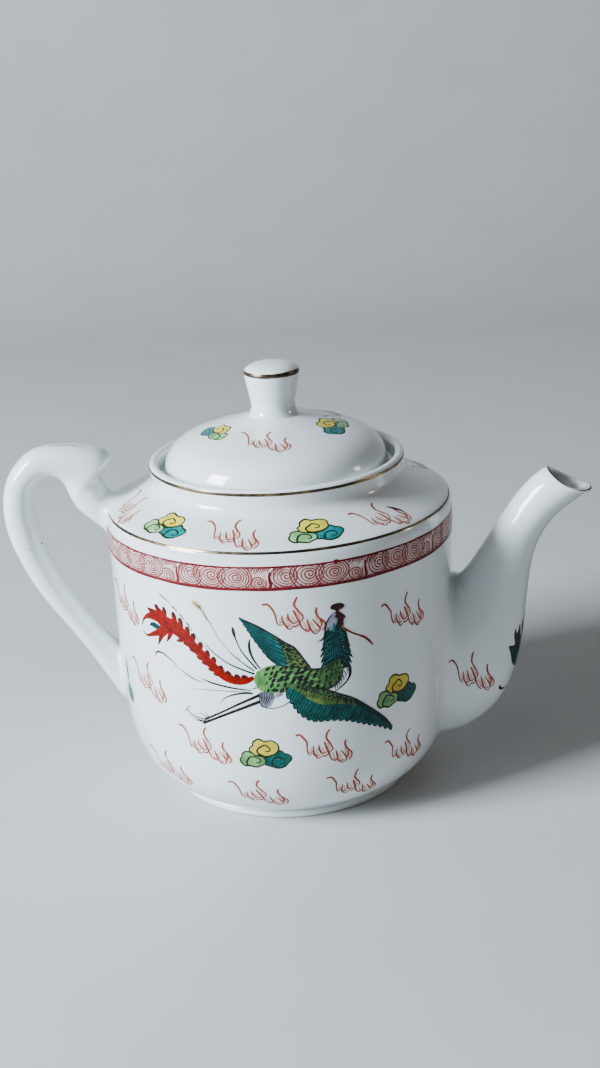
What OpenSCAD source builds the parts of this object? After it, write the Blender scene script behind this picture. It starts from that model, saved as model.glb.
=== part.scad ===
// Porcelain teapot: slip-cast body with a luted spout and handle, a loose domed lid
// with a knob, and fired-on gilding and a painted border.
// Millimetres. The origin is the centre of the foot, +Z is up, the handle lies towards -X
// and the spout towards +X.

/* [Body] */
// Outer radius of the straight side
body_r = 68.1; // [64:0.1:72]
// Height of the shoulder edge above the table
shoulder_z = 117.6; // [112:0.1:124]
// Thickness of the side wall
wall = 4; // [3:0.1:5]
// Thickness of the floor of the pot
floor_t = 4.4; // [3.5:0.1:6]
// Outward swell of the side just under the shoulder
shoulder_swell = 0.5; // [0:0.1:0.8]

/* [Foot] */
// Outer radius of the foot ring
foot_r = 49; // [46:0.5:52]
// Height of the foot ring
foot_h = 3.3; // [2.5:0.1:5]
// Width of the foot ring
foot_w = 5; // [4:0.1:7]

/* [Collar] */
// Outer radius of the collar at its rim
collar_r = 50.1; // [48:0.1:52]
// Height of the rim above the shoulder edge
collar_h = 17.5; // [16:0.1:20]
// Thickness of the collar wall
collar_wall = 3.8; // [3:0.1:4.5]
// Depth of the lid ledge below the rim
ledge_drop = 6; // [5:0.1:7]
// Width of the lid ledge
ledge_w = 4.7; // [4:0.1:5.5]

/* [Lid] */
// Height of the lid from its seat to the foot of the knob
lid_rise = 22.2; // [18:0.1:26]
// Gap between the edge of the lid and the collar
lid_edge_gap = 2.4; // [1.5:0.1:3]
// Height that the lid rests above the ledge, a grain of unglazed clay
seat_gap = 0.3; // [0.2:0.05:0.5]
// Thickness of the lid
lid_wall = 3.6; // [3:0.1:4.5]
// Side clearance of the locating flange in the throat
flange_gap = 0.9; // [0.6:0.1:1.5]
// Depth of the locating flange below the ledge
flange_depth = 8; // [6:0.5:12]
// Thickness of the locating flange
flange_wall = 3; // [2.5:0.1:4]
// Diameter of the steam vent
vent_d = 2.6; // [2:0.1:4]
// Distance of the steam vent from the axis
vent_r = 19; // [15:0.5:25]

/* [Knob] */
// Radius of the knob at its edge
knob_r = 10.8; // [9:0.1:12]
// Height of the knob edge above its foot
knob_edge_h = 16.2; // [13:0.1:20]
// Height of the crown above the knob edge
knob_crown = 3.9; // [2:0.1:6]
// Radius of the waist of the knob
knob_waist_r = 8.35; // [7:0.05:9]

/* [Spout] */
// Turn of the spout off the handle's line, as it was luted by hand
spout_turn = 8; // [0:0.5:12]
// Wall of the spout
spout_wall = 3; // [2.4:0.1:3.6]
// Wall of the spout at its lip
lip_wall = 1.9; // [1.5:0.1:2.4]
// Scale of the breadth of the spout
spout_breadth = 1; // [0.9:0.01:1.1]
// Diameter of one strainer hole
strainer_d = 5; // [4:0.1:6]
// Distance between strainer holes
strainer_pitch = 9; // [8:0.1:10]
// Depth of the middle of the strainer below the shoulder edge
strainer_drop = 73.6; // [70:0.2:78]

/* [Handle] */
// Scale of the breadth of the handle
handle_breadth = 1; // [0.85:0.01:1.15]
// Squareness of the handle's section, 2 is an ellipse
handle_square = 2.3; // [2:0.1:3]

/* [Decoration] */
// Thickness of the fired-on gilding
gilt_t = 0.2; // [0.1:0.05:0.4]
// Width of the gilt lines
gilt_w = 1.1; // [0.8:0.1:2]
// Height of the painted border
border_h = 9.1; // [8:0.1:11]
// Distance of the border's upper edge below the shoulder edge
border_drop = 4.9; // [4:0.1:6]
// Thickness of the painted border
border_t = 0.12; // [0.1:0.02:0.3]

/* [Hidden] */
$fn = 128;

porcelain = "#E9EEF1";
gold = "#8C6B2E";
iron_red = "#C06A5C";

curve_n = 8;              // steps in one curve of a profile
ring_n = 28;              // points round one section of the spout or the handle
loft_n = 2;               // sections between two stations
luting_gap = 0.05;        // slip line between the body and a luted piece
root_margin = 0.3;        // bare margin of the painting beside the handle's joint
side_z = 70;              // height where the rounded base turns into the straight side
edge_round = 5.4;         // height of the rounded shoulder edge
fillet_z = shoulder_z + 8.6;              // height of the hollow where the collar starts
rim_z = shoulder_z + collar_h;            // height of the rim above the table
neck_end_z = (fillet_z + rim_z) / 2;      // height where the collar turns straight
neck_r = collar_r - 0.5;                  // collar radius under the rolled rim
rim_round = collar_wall / 2;              // radius of the rolled rim
collar_in_r = collar_r - collar_wall;     // inside radius of the collar
throat_r = collar_in_r - ledge_w;         // inside radius of the ledge
ledge_z = rim_z - ledge_drop;             // height of the lid ledge
inner_r = body_r - wall;                  // inside radius of the side
floor_z = foot_h + floor_t;               // height of the floor inside the pot
throat_z = ledge_z - 7;                   // underside of the lid ledge
strainer_z = shoulder_z - strainer_drop;  // height of the middle of the strainer

lid_r = collar_in_r - lid_edge_gap;       // outer radius of the lid
lid_z = ledge_z + seat_gap;               // underside of the lid's edge
lid_top = lid_z + lid_rise;               // top of the lid at the knob's foot
flange_r = throat_r - flange_gap;         // outer radius of the locating flange
knob_edge_z = lid_top + knob_edge_h;      // height of the knob's edge
knob_foot_r = knob_waist_r + 1.4;         // radius of the knob's foot

// ---- curves ----

function bez(a, b, c, d, n = curve_n) = [for (i = [0:n]) let (t = i / n, s = 1 - t)
    s * s * s * a + 3 * s * s * t * b + 3 * s * t * t * c + t * t * t * d];

function arc(cx, cz, r, from, to, n = curve_n) =
    [for (i = [0:n]) let (a = from + (to - from) * i / n) [cx + r * cos(a), cz + r * sin(a)]];

function join(lists) = [for (l = lists) for (p = l) p];

// ---- the revolved outlines, as [radius, height] ----

base_curve = bez([foot_r + 1.2, foot_h], [body_r - 2.6, foot_h + 7.5],
                 [body_r, foot_h + 25.4], [body_r, side_z], 2 * curve_n);
edge_curve = bez([body_r, shoulder_z - 20], [body_r + shoulder_swell, shoulder_z - 10],
                 [body_r + 2 * shoulder_swell, shoulder_z - 1], [body_r - 1.4, shoulder_z + 0.6]);
shoulder_curve = bez([body_r - 2.6, shoulder_z + 1.3], [body_r - 8, shoulder_z + 4],
                     [neck_r + 4.5, fillet_z - 2.4], [neck_r + 1.6, fillet_z]);
neck_curve = bez([neck_r + 1.1, fillet_z + 0.5], [neck_r + 0.2, fillet_z + 1.6],
                 [neck_r, fillet_z + 2.2], [neck_r, neck_end_z]);
rim_curve = join([[[collar_r, rim_z - rim_round - 0.5]],
                  arc(collar_r - rim_round, rim_z - rim_round, rim_round, 0, 180)]);

// Outside of the body from the foot ring to the rim
outer_side = join([base_curve, edge_curve, shoulder_curve, neck_curve]);

inner_base = bez([0, floor_z], [inner_r - 4, floor_z], [inner_r, floor_z + 10],
                 [inner_r, side_z], 2 * curve_n);
inner_shoulder = bez([inner_r, shoulder_z - 10], [inner_r, shoulder_z - 2],
                     [inner_r - 6, shoulder_z], [throat_r + 2, throat_z], curve_n);

module pot_outline() {
    polygon(join([[[0, foot_h]], [[foot_r - foot_w - 1.2, foot_h]],
                  arc(foot_r - foot_w + 1, 1, 1, 180, 270, 3),
                  arc(foot_r - 1, 1, 1, 270, 360, 3),
                  outer_side, rim_curve,
                  [[collar_in_r, ledge_z + 1]], arc(collar_in_r - 1, ledge_z + 1, 1, 0, -90, 3),
                  [[throat_r, ledge_z]], [[throat_r, throat_z + 1]],
                  [for (i = [curve_n:-1:0]) inner_shoulder[i]],
                  [for (i = [2 * curve_n:-1:0]) inner_base[i]]]));
}

// The body without its hollow, drawn out by some distance, for cutting what is luted to it
module pot_block(out) {
    rotate_extrude()
        translate([out, 0])
            polygon(join([[[-out, foot_h]], outer_side, [[-out, fillet_z + 6]]]));
}

// A thin layer on the outside of an outline, between two heights
module layer(t, low, high) {
    rotate_extrude()
        intersection() {
            translate([0, low]) square([2 * body_r, high - low]);
            difference() {
                translate([t, 0]) children();
                children();
            }
        }
}

module side_outline() {
    polygon(join([[[0, foot_h]], outer_side, [[0, fillet_z + 6]]]));
}

module collar_outline() {
    polygon(join([[[0, fillet_z]], neck_curve, rim_curve, [[0, rim_z - rim_round]]]));
}

// ---- the lid ----

dome_curve = bez([knob_waist_r - 1.4, lid_top], [0.66 * lid_r, lid_top - 6.4],
                 [lid_r - 0.6, lid_top - 7], [lid_r, lid_z + 1.4], 2 * curve_n);
dome_under = bez([flange_r - flange_wall, lid_z - 1], [flange_r - flange_wall - 0.6, lid_top - 12],
                 [0.6 * lid_r, lid_top - 6 - lid_wall], [0, lid_top - lid_wall + 0.4], 2 * curve_n);

module lid_outline() {
    polygon(join([[[0, lid_top + 0.1]], dome_curve,
                  arc(lid_r - 1.4, lid_z + 1.4, 1.4, 0, -90, 4),
                  [[flange_r, lid_z]], [[flange_r, ledge_z - flange_depth + 1]],
                  arc(flange_r - 1, ledge_z - flange_depth + 1, 1, 0, -90, 3),
                  [[flange_r - flange_wall, ledge_z - flange_depth]], dome_under]));
}

// ---- the knob, on top of the lid ----

knob_side = join([[[knob_foot_r, lid_top - 0.4]],
                  bez([knob_foot_r, lid_top + 0.2], [knob_waist_r, lid_top + 1],
                      [knob_waist_r - 0.05, lid_top + 2.6], [knob_waist_r + 0.4, lid_top + 4.6]),
                  bez([knob_waist_r + 0.7, lid_top + 6], [knob_waist_r + 1.4, lid_top + 10],
                      [knob_r - 0.2, knob_edge_z - 3], [knob_r, knob_edge_z])]);
knob_top = bez([knob_r - 0.3, knob_edge_z + 0.9], [knob_r - 2, knob_edge_z + knob_crown - 1],
               [knob_r / 2, knob_edge_z + knob_crown], [0, knob_edge_z + knob_crown]);

module knob_outline() {
    difference() {
        polygon(join([[[0, lid_top - 3]], [[knob_foot_r, lid_top - 3]], knob_side, knob_top]));
        lid_outline();
        square([knob_foot_r, lid_top - 2.9]);
    }
}

// ---- swept shapes ----
// A station is one section: [inner edge out, inner edge up, outer edge out, outer edge up, breadth].
// Out is measured from the straight side of the body, and up from the shoulder edge.

// Sections of the spout from inside the body's wall to the mouth
spout_stations = [
    [-6.1, -36.6, -11.1, -104.6, 37.0], [1.4, -35.6, 0.9, -101.8, 36.0], [3.5, -33.9, 8.9, -97.6, 34.5],
    [5.2, -31.9, 16.4, -90.8, 32.5], [6.9, -29.6, 22.1, -81.6, 30.0], [8.8, -26.8, 25.9, -69.6, 27.0],
    [11.0, -23.4, 28.3, -55.1, 24.0], [13.6, -19.2, 29.9, -39.6, 21.5],
    [16.8, -13.9, 31.9, -26.4, 19.6], [20.7, -7.9, 35.5, -16.8, 18.4], [25.1, -1.5, 40.3, -10.0, 17.8],
    [29.9, 4.1, 46.1, -4.8, 17.6], [34.1, 7.8, 50.7, -1.2, 17.6], [37.1, 9.6, 54.5, 1.4, 17.4]];

// Sections of the handle from the upper joint round the grip to the lower joint. The fifth to
// the ninth reach out towards the lid and form the thumb rest.
handle_stations = [
    [-9.1, -14.6, -5.7, -3.6, 17.4], [0.3, -10.5, -1.5, 3.2, 17.2], [6.3, -5.4, 1.9, 7.1, 16.6],
    [10.9, -1.0, 3.8, 10.0, 16.4], [13.3, 3.0, 3.2, 12.4, 16.4], [14.4, 5.8, -0.1, 15.6, 16.6],
    [15.2, 8.2, -3.2, 19.2, 17.0], [16.5, 10.6, 0.3, 23.0, 17.0], [18.3, 12.6, 9.5, 25.1, 16.8],
    [20.8, 13.5, 20.7, 25.3, 16.5], [24.1, 12.6, 28.7, 23.2, 16.5], [26.8, 9.9, 35.6, 16.9, 16.5],
    [28.3, 5.6, 39.6, 8.3, 16.5], [28.6, -2.2, 40.6, -2.6, 16.5], [27.3, -9.4, 39.2, -12.0, 16.4],
    [25.4, -18.2, 36.1, -21.4, 16.2], [22.0, -27.0, 31.8, -31.1, 16.0],
    [17.0, -37.3, 25.8, -41.2, 15.8], [10.6, -47.6, 18.6, -51.9, 15.6], [4.9, -55.2, 11.5, -63.2, 15.8],
    [0.5, -60.0, 5.5, -74.0, 16.6], [-2.5, -62.4, -0.5, -83.6, 17.6], [-8.1, -65.6, -8.1, -87.6, 18.0]];

// Catmull-Rom curve through four neighbouring stations
function blend(a, b, c, d, t) = 0.5 * (2 * b + (c - a) * t
    + (2 * a - 5 * b + 4 * c - d) * t * t + (3 * b - 3 * c + d - a) * t * t * t);

function stations(list) = let (m = len(list) - 1) concat(
    [for (i = [0:m - 1]) for (j = [0:loft_n - 1])
        blend(list[max(i - 1, 0)], list[i], list[i + 1], list[min(i + 2, m)], j / loft_n)],
    [list[m]]);

function power(v, p) = sign(v) * pow(abs(v), p);

// One section, thinned by a wall: an ellipse for square = 2, a rounder-cornered box above that
function section(s, thin, breadth, square) = let (
    mid = [s[0] + s[2], s[1] + s[3]] / 2, half = [s[2] - s[0], s[3] - s[1]] / 2,
    keep = 1 - thin / norm(half), side = breadth * s[4] / 2 - thin)
    [for (i = [0:ring_n - 1]) let (a = 360 * i / ring_n,
        u = power(cos(a), 2 / square) * keep, v = power(sin(a), 2 / square) * side)
        [mid[0] + half[0] * u, v, mid[1] + half[1] * u]];

// A closed solid through a row of sections
module loft(rings) {
    m = len(rings);
    polyhedron(
        points = join(rings),
        faces = concat(
            [[for (i = [0:ring_n - 1]) i]],
            [for (k = [0:m - 2]) for (i = [0:ring_n - 1]) let (j = (i + 1) % ring_n)
                [k * ring_n + i, (k + 1) * ring_n + i, (k + 1) * ring_n + j, k * ring_n + j]],
            [[for (i = [ring_n - 1:-1:0]) (m - 1) * ring_n + i]]),
        convexity = 6);
}

// A station in the part's own frame, on the side that way points to
function placed(s, way) = [way * (body_r + s[0]), shoulder_z + s[1],
                           way * (body_r + s[2]), shoulder_z + s[3], s[4]];

spout_sections = [for (s = stations(spout_stations)) placed(s, 1)];
handle_sections = [for (s = stations(handle_stations)) placed(s, -1)];
spout_last = len(spout_sections) - 1;

// Wall of the spout at section k, thinning to the lip over the last stretch
function wall_at(k) = let (near = max(0, 1 - (spout_last - k) / (4 * loft_n)))
    spout_wall + (lip_wall - spout_wall) * near;

// The channel, run on a little past the mouth so that it cuts clean through
overrun = [0.4, 1, 0.4, 1, 0];
channel = concat([for (k = [0:spout_last])
                     section(spout_sections[k], wall_at(k), spout_breadth, 2)],
                 [section(spout_sections[spout_last] + overrun, lip_wall, spout_breadth, 2)]);

// The mouth: its middle, its fall, and its outline in its own plane
mouth = spout_sections[spout_last];
mouth_mid = [mouth[0] + mouth[2], 0, mouth[1] + mouth[3]] / 2;
mouth_fall = atan2(mouth[1] - mouth[3], mouth[2] - mouth[0]);
mouth_half = norm([mouth[2] - mouth[0], mouth[3] - mouth[1]]) / 2;

module mouth_outline(thin) {
    polygon([for (i = [0:ring_n - 1]) let (a = 360 * i / ring_n)
        [(mouth_half - thin) * cos(a), (spout_breadth * mouth[4] / 2 - thin) * sin(a)]]);
}

// ---- sub-parts ----

module body() {
    color(porcelain)
        difference() {
            rotate_extrude() pot_outline();
            rotate([0, 0, -spout_turn]) strainer();
        }
}

// Seven holes through the wall behind the spout
module strainer() {
    for (row = [-1:1], col = [-1:1])
        if (row == 0 || col != 0)
            translate([inner_r - 8, (row == 0 ? col : col / 2) * strainer_pitch,
                       strainer_z + row * strainer_pitch])
                rotate([0, 90, 0]) cylinder(d = strainer_d, h = wall + 14, $fn = 32);
}

module spout() {
    color(porcelain)
        difference() {
            rotate([0, 0, -spout_turn])
                difference() {
                    loft([for (s = spout_sections) section(s, 0, spout_breadth, 2)]);
                    loft(channel);
                }
            pot_block(luting_gap);
        }
}

module handle() {
    color(porcelain)
        difference() {
            loft([for (s = handle_sections) section(s, 0, handle_breadth, handle_square)]);
            pot_block(luting_gap);
        }
}

module lid() {
    color(porcelain)
        difference() {
            rotate_extrude() lid_outline();
            translate([0, vent_r, lid_z]) cylinder(d = vent_d, h = lid_rise + 5, $fn = 24);
        }
}

module lid_knob() {
    color(porcelain) rotate_extrude() knob_outline();
}

module rim_gilt_line() {
    color(gold)
        layer(gilt_t, rim_z - rim_round - gilt_w / 2, rim_z - rim_round + gilt_w / 2) collar_outline();
}

module shoulder_gilt_line() {
    color(gold)
        difference() {
            layer(gilt_t, shoulder_z - 0.8 * gilt_w, shoulder_z + 0.2 * gilt_w) side_outline();
            root_notch();
        }
}

module knob_gilt_line() {
    color(gold)
        layer(gilt_t, knob_edge_z - gilt_w / 2, knob_edge_z + gilt_w / 2)
            polygon(join([[[0, lid_top]], knob_side, knob_top]));
}

module spout_gilt_lip() {
    color(gold)
        rotate([0, 0, -spout_turn])
            translate(mouth_mid) rotate([0, mouth_fall, 0])
                linear_extrude(gilt_t) difference() {
                    mouth_outline(0);
                    mouth_outline(lip_wall);
                }
}

module border_band() {
    color(iron_red)
        difference() {
            layer(border_t, shoulder_z - border_drop - border_h, shoulder_z - border_drop) side_outline();
            root_notch();
        }
}

// Where the handle's upper joint interrupts what is painted round the body
module root_notch() {
    root_w = handle_breadth * handle_sections[0][4] + 2 * root_margin;
    translate([-2 * body_r, -root_w / 2, 0]) cube([2 * body_r, root_w, rim_z]);
}

body();
spout();
handle();
lid();
lid_knob();
rim_gilt_line();
shoulder_gilt_line();
knob_gilt_line();
spout_gilt_lip();
border_band();
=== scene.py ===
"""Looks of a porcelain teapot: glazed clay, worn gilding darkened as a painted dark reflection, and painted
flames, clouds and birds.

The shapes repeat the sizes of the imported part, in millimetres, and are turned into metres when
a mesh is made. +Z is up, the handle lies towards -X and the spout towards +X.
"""
import math

import bpy
import numpy as np
from mathutils import Matrix, Vector
from mathutils.bvhtree import BVHTree


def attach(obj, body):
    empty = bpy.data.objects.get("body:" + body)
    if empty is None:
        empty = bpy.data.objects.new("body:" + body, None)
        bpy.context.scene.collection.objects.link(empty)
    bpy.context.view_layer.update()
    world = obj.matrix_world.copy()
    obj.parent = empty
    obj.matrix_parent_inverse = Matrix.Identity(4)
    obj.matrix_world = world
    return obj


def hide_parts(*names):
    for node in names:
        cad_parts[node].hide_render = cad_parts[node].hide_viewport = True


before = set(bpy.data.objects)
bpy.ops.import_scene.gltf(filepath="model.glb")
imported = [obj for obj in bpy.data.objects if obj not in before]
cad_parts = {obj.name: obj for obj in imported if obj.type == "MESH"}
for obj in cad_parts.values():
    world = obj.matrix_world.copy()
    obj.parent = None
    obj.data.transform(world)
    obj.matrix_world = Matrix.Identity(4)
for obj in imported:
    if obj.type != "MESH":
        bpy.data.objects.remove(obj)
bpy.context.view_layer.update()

MM = 0.001

# ---- sizes, as in the part ----
BODY_R = 68.1
SHOULDER_Z = 117.6
WALL = 4.0
FLOOR_T = 4.4
SWELL = 0.5
FOOT_R = 49.0
FOOT_H = 3.3
FOOT_W = 5.0
BARE_FOOT_H = 0.9
COLLAR_R = 50.1
COLLAR_H = 17.5
COLLAR_WALL = 3.8
LEDGE_DROP = 6.0
LEDGE_W = 4.7
LID_RISE = 22.2
LID_EDGE_GAP = 2.4
SEAT_GAP = 0.3
LID_WALL = 3.6
FLANGE_GAP = 0.9
FLANGE_DEPTH = 8.0
FLANGE_WALL = 3.0
VENT_R = 19.0
VENT_D = 2.6
KNOB_R = 10.8
KNOB_EDGE_H = 16.2
KNOB_CROWN = 3.9
WAIST_R = 8.35
SPOUT_TURN = 8.0
SPOUT_WALL = 3.0
LIP_WALL = 1.9
MOUTH_DIP = 1.9
STRAINER_D = 5.0
STRAINER_PITCH = 9.0
STRAINER_Z = SHOULDER_Z - 73.6
HANDLE_SQUARE = 2.3
SIDE_Z = 70.0

FILLET_Z = SHOULDER_Z + 8.6
RIM_Z = SHOULDER_Z + COLLAR_H
NECK_R = COLLAR_R - 0.5
RIM_ROUND = COLLAR_WALL / 2
COLLAR_IN_R = COLLAR_R - COLLAR_WALL
THROAT_R = COLLAR_IN_R - LEDGE_W
LEDGE_Z = RIM_Z - LEDGE_DROP
THROAT_Z = LEDGE_Z - 7
INNER_R = BODY_R - WALL
FLOOR_Z = FOOT_H + FLOOR_T
LID_R = COLLAR_IN_R - LID_EDGE_GAP
LID_Z = LEDGE_Z + SEAT_GAP
LID_TOP = LID_Z + LID_RISE
FLANGE_R = THROAT_R - FLANGE_GAP
KNOB_EDGE_Z = LID_TOP + KNOB_EDGE_H
KNOB_TOP_Z = KNOB_EDGE_Z + KNOB_CROWN

# One section each: inner edge out and up, outer edge out and up, breadth. Out is measured
# from the straight side of the body, up from the shoulder edge.
SPOUT_STATIONS = [
    (-6.1, -36.6, -11.1, -104.6, 37.0), (1.4, -35.6, 0.9, -101.8, 36.0), (3.5, -33.9, 8.9, -97.6, 34.5),
    (5.2, -31.9, 16.4, -90.8, 32.5), (6.9, -29.6, 22.1, -81.6, 30.0), (8.8, -26.8, 25.9, -69.6, 27.0),
    (11.0, -23.4, 28.3, -55.1, 24.0), (13.6, -19.2, 29.9, -39.6, 21.5), (16.8, -13.9, 31.9, -26.4, 19.6),
    (20.7, -7.9, 35.5, -16.8, 18.4), (25.1, -1.5, 40.3, -10.0, 17.8), (29.9, 4.1, 46.1, -4.8, 17.6),
    (34.1, 7.8, 50.7, -1.2, 17.6), (37.1, 9.6, 54.5, 1.4, 17.4)]

HANDLE_STATIONS = [
    (-9.1, -14.6, -7.6, 3.4, 17.4), (0.3, -10.5, -3.4, 4.8, 17.2), (6.3, -5.4, -0.6, 6.2, 16.6),
    (10.9, -1.0, 0.7, 9.2, 16.4), (13.3, 3.0, 2.2, 12.7, 16.2), (14.4, 5.8, -0.1, 15.9, 16.6),
    (15.2, 8.2, -3.2, 19.2, 17.0), (16.5, 10.6, 0.3, 23.0, 17.0), (18.3, 12.6, 9.5, 25.1, 16.8),
    (20.8, 13.5, 20.7, 25.3, 16.5), (24.1, 12.6, 28.7, 23.2, 16.5), (26.8, 9.9, 35.6, 16.9, 16.5),
    (28.3, 5.6, 39.6, 8.3, 16.5), (28.6, -2.2, 40.6, -2.6, 16.5), (27.3, -9.4, 39.2, -12.0, 16.4),
    (25.4, -18.2, 36.1, -21.4, 16.2), (22.0, -27.0, 31.8, -31.1, 16.0), (17.0, -37.3, 25.8, -41.2, 15.8),
    (10.6, -47.6, 18.6, -51.9, 15.6), (4.9, -55.2, 11.5, -63.2, 15.8), (0.5, -60.0, 5.5, -74.0, 16.6),
    (-2.5, -62.4, -0.5, -83.6, 17.6), (-8.1, -65.6, -8.1, -87.6, 18.0)]


# ---- curves ----

def bezier(a, b, c, d, steps):
    t = np.linspace(0, 1, steps + 1)[:, None]
    s = 1 - t
    a, b, c, d = (np.array(p, float) for p in (a, b, c, d))
    return s ** 3 * a + 3 * s * s * t * b + 3 * s * t * t * c + t ** 3 * d


def arc(mid, radius, start, stop, steps):
    a = np.radians(np.linspace(start, stop, steps + 1))
    return np.stack([mid[0] + radius * np.cos(a), mid[1] + radius * np.sin(a)], 1)


def along(rows, t):
    """Rows read at a fractional index by a Catmull-Rom curve."""
    rows = np.asarray(rows, float)
    last = len(rows) - 1
    t = np.clip(np.asarray(t, float), 0, last)
    i = np.minimum(t.astype(int), last - 1)
    f = (t - i)[..., None]
    a, b, c, d = (rows[np.clip(i + k, 0, last)] for k in (-1, 0, 1, 2))
    return 0.5 * (2 * b + (c - a) * f + (2 * a - 5 * b + 4 * c - d) * f ** 2
                  + (3 * b - 3 * c + d - a) * f ** 3)


def unit(v):
    return v / np.maximum(np.linalg.norm(v, axis=-1, keepdims=True), 1e-12)


# ---- outlines of the turned pieces, as rows of radius and height ----

BASE = bezier((FOOT_R - 0.4, FOOT_H + 0.6), (BODY_R - 2.9, FOOT_H + 7.5), (BODY_R, FOOT_H + 25.4),
              (BODY_R, SIDE_Z), 40)
EDGE = bezier((BODY_R, SHOULDER_Z - 20), (BODY_R + SWELL, SHOULDER_Z - 10),
              (BODY_R + 2 * SWELL, SHOULDER_Z - 1), (BODY_R - 1.4, SHOULDER_Z + 0.6), 24)
SHOULDER = bezier((BODY_R - 2.6, SHOULDER_Z + 1.3), (BODY_R - 8, SHOULDER_Z + 4),
                  (NECK_R + 4.5, FILLET_Z - 2.4), (NECK_R + 1.6, FILLET_Z), 20)
NECK = bezier((NECK_R + 1.1, FILLET_Z + 0.5), (NECK_R + 0.2, FILLET_Z + 1.6),
              (NECK_R, FILLET_Z + 2.2), (NECK_R, (FILLET_Z + RIM_Z) / 2), 8)
RIM = np.vstack([[(COLLAR_R, RIM_Z - RIM_ROUND - 0.5)],
                 arc((COLLAR_R - RIM_ROUND, RIM_Z - RIM_ROUND), RIM_ROUND, 0, 180, 12)])
FOOT_SIDE = np.array([(FOOT_R, 1.0), (FOOT_R, FOOT_H - 0.9), (FOOT_R - 0.3, FOOT_H - 0.3),
                      (FOOT_R - 0.8, FOOT_H + 0.1)])
OUTSIDE = np.vstack([BASE, EDGE, SHOULDER, NECK, RIM[:8]])
INSIDE = np.vstack([
    bezier((0, FLOOR_Z), (INNER_R - 4, FLOOR_Z), (INNER_R, FLOOR_Z + 10), (INNER_R, SIDE_Z), 30),
    bezier((INNER_R, SHOULDER_Z - 10), (INNER_R, SHOULDER_Z - 2), (INNER_R - 6, SHOULDER_Z),
           (THROAT_R + 2, THROAT_Z), 12),
    [(THROAT_R, THROAT_Z + 1), (THROAT_R, LEDGE_Z)]])
FOOT_RING = np.vstack([
    [(0, FOOT_H), (FOOT_R - FOOT_W - 1.2, FOOT_H)],
    arc((FOOT_R - FOOT_W + 1, 1), 1, 180, 270, 4), arc((FOOT_R - 1, 1), 1, 270, 360, 4), FOOT_SIDE])
LEDGE = np.vstack([[(COLLAR_IN_R, LEDGE_Z + 1)], arc((COLLAR_IN_R - 1, LEDGE_Z + 1), 1, 0, -90, 4)])
DOME = bezier((WAIST_R - 1.4, LID_TOP), (0.66 * LID_R, LID_TOP - 6.4), (LID_R - 0.6, LID_TOP - 7),
              (LID_R, LID_Z + 1.4), 48)
DOME_UNDER = bezier((FLANGE_R - FLANGE_WALL, LID_Z - 1), (FLANGE_R - FLANGE_WALL - 0.6, LID_TOP - 12),
                    (0.6 * LID_R, LID_TOP - 6 - LID_WALL), (0, LID_TOP - LID_WALL + 0.4), 24)
KNOB_FOOT_R = WAIST_R + 2.4
KNOB_FOOT_Z = float(np.interp(KNOB_FOOT_R, DOME[:, 0], DOME[:, 1]))
KNOB_SIDE = np.vstack([
    bezier((KNOB_FOOT_R, KNOB_FOOT_Z - 0.1), (WAIST_R + 1.0, KNOB_FOOT_Z + 0.3),
           (WAIST_R - 0.05, LID_TOP + 1.6), (WAIST_R + 0.35, LID_TOP + 4.6), 14),
    bezier((WAIST_R + 0.7, LID_TOP + 6), (WAIST_R + 1.4, LID_TOP + 10),
           (KNOB_R - 0.2, KNOB_EDGE_Z - 3), (KNOB_R, KNOB_EDGE_Z), 14)])
KNOB_CAP = bezier((KNOB_R - 0.3, KNOB_EDGE_Z + 0.9), (KNOB_R - 2, KNOB_TOP_Z - 1),
                  (KNOB_R / 2, KNOB_TOP_Z), (0, KNOB_TOP_Z), 14)


# ---- meshes ----

SHARP = 38.0
ON_AXIS = 1e-6


def full_turn(count):
    """Angles evenly spread round a circle."""
    return np.linspace(0, 2 * math.pi, count, endpoint=False)


def make(name, verts, faces, materials, which=None, sharp=SHARP):
    """A mesh object from vertices in millimetres, smooth but for edges over an angle."""
    mesh = bpy.data.meshes.new(name)
    mesh.from_pydata((np.asarray(verts) * MM).tolist(), [], [tuple(map(int, f)) for f in faces])
    for material in materials:
        mesh.materials.append(material)
    if which is not None:
        mesh.polygons.foreach_set("material_index", np.asarray(which, np.int32))
    mesh.polygons.foreach_set("use_smooth", np.ones(len(mesh.polygons), bool))
    mesh.set_sharp_from_angle(angle=math.radians(sharp))
    mesh.validate()
    obj = bpy.data.objects.new(name, mesh)
    bpy.context.scene.collection.objects.link(obj)
    return obj


def grid_faces(rows, columns, closed, start=0):
    """Quads of a grid whose rows are closed rings or open lines."""
    width = columns if closed else columns - 1
    i = np.arange(rows - 1)[:, None] * columns
    j = np.arange(width)[None, :]
    k = (j + 1) % columns
    quads = np.stack([i + j, i + k, i + columns + k, i + columns + j], -1)
    return (quads.reshape(-1, 4) + start).tolist()


def turned(outline, around=224):
    """An outline turned about Z: vertices, faces, and for each face the outline's segment."""
    verts, rows, faces, segment = [], [], [], []
    angle = full_turn(around)
    for r, z in outline:
        rows.append((len(verts), r < ON_AXIS))
        if r < ON_AXIS:
            verts.append((0, 0, z))
        else:
            verts.extend(np.stack([r * np.cos(angle), r * np.sin(angle), z + 0 * angle], 1))
    for s, ((a, a_tip), (b, b_tip)) in enumerate(zip(rows, rows[1:])):
        for j in range(around):
            k = (j + 1) % around
            if a_tip:
                faces.append((a, b + k, b + j))
            elif b_tip:
                faces.append((a + j, a + k, b))
            else:
                faces.append((a + j, a + k, b + k, b + j))
            segment.append(s)
    return np.array(verts, float), faces, np.array(segment)


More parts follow.
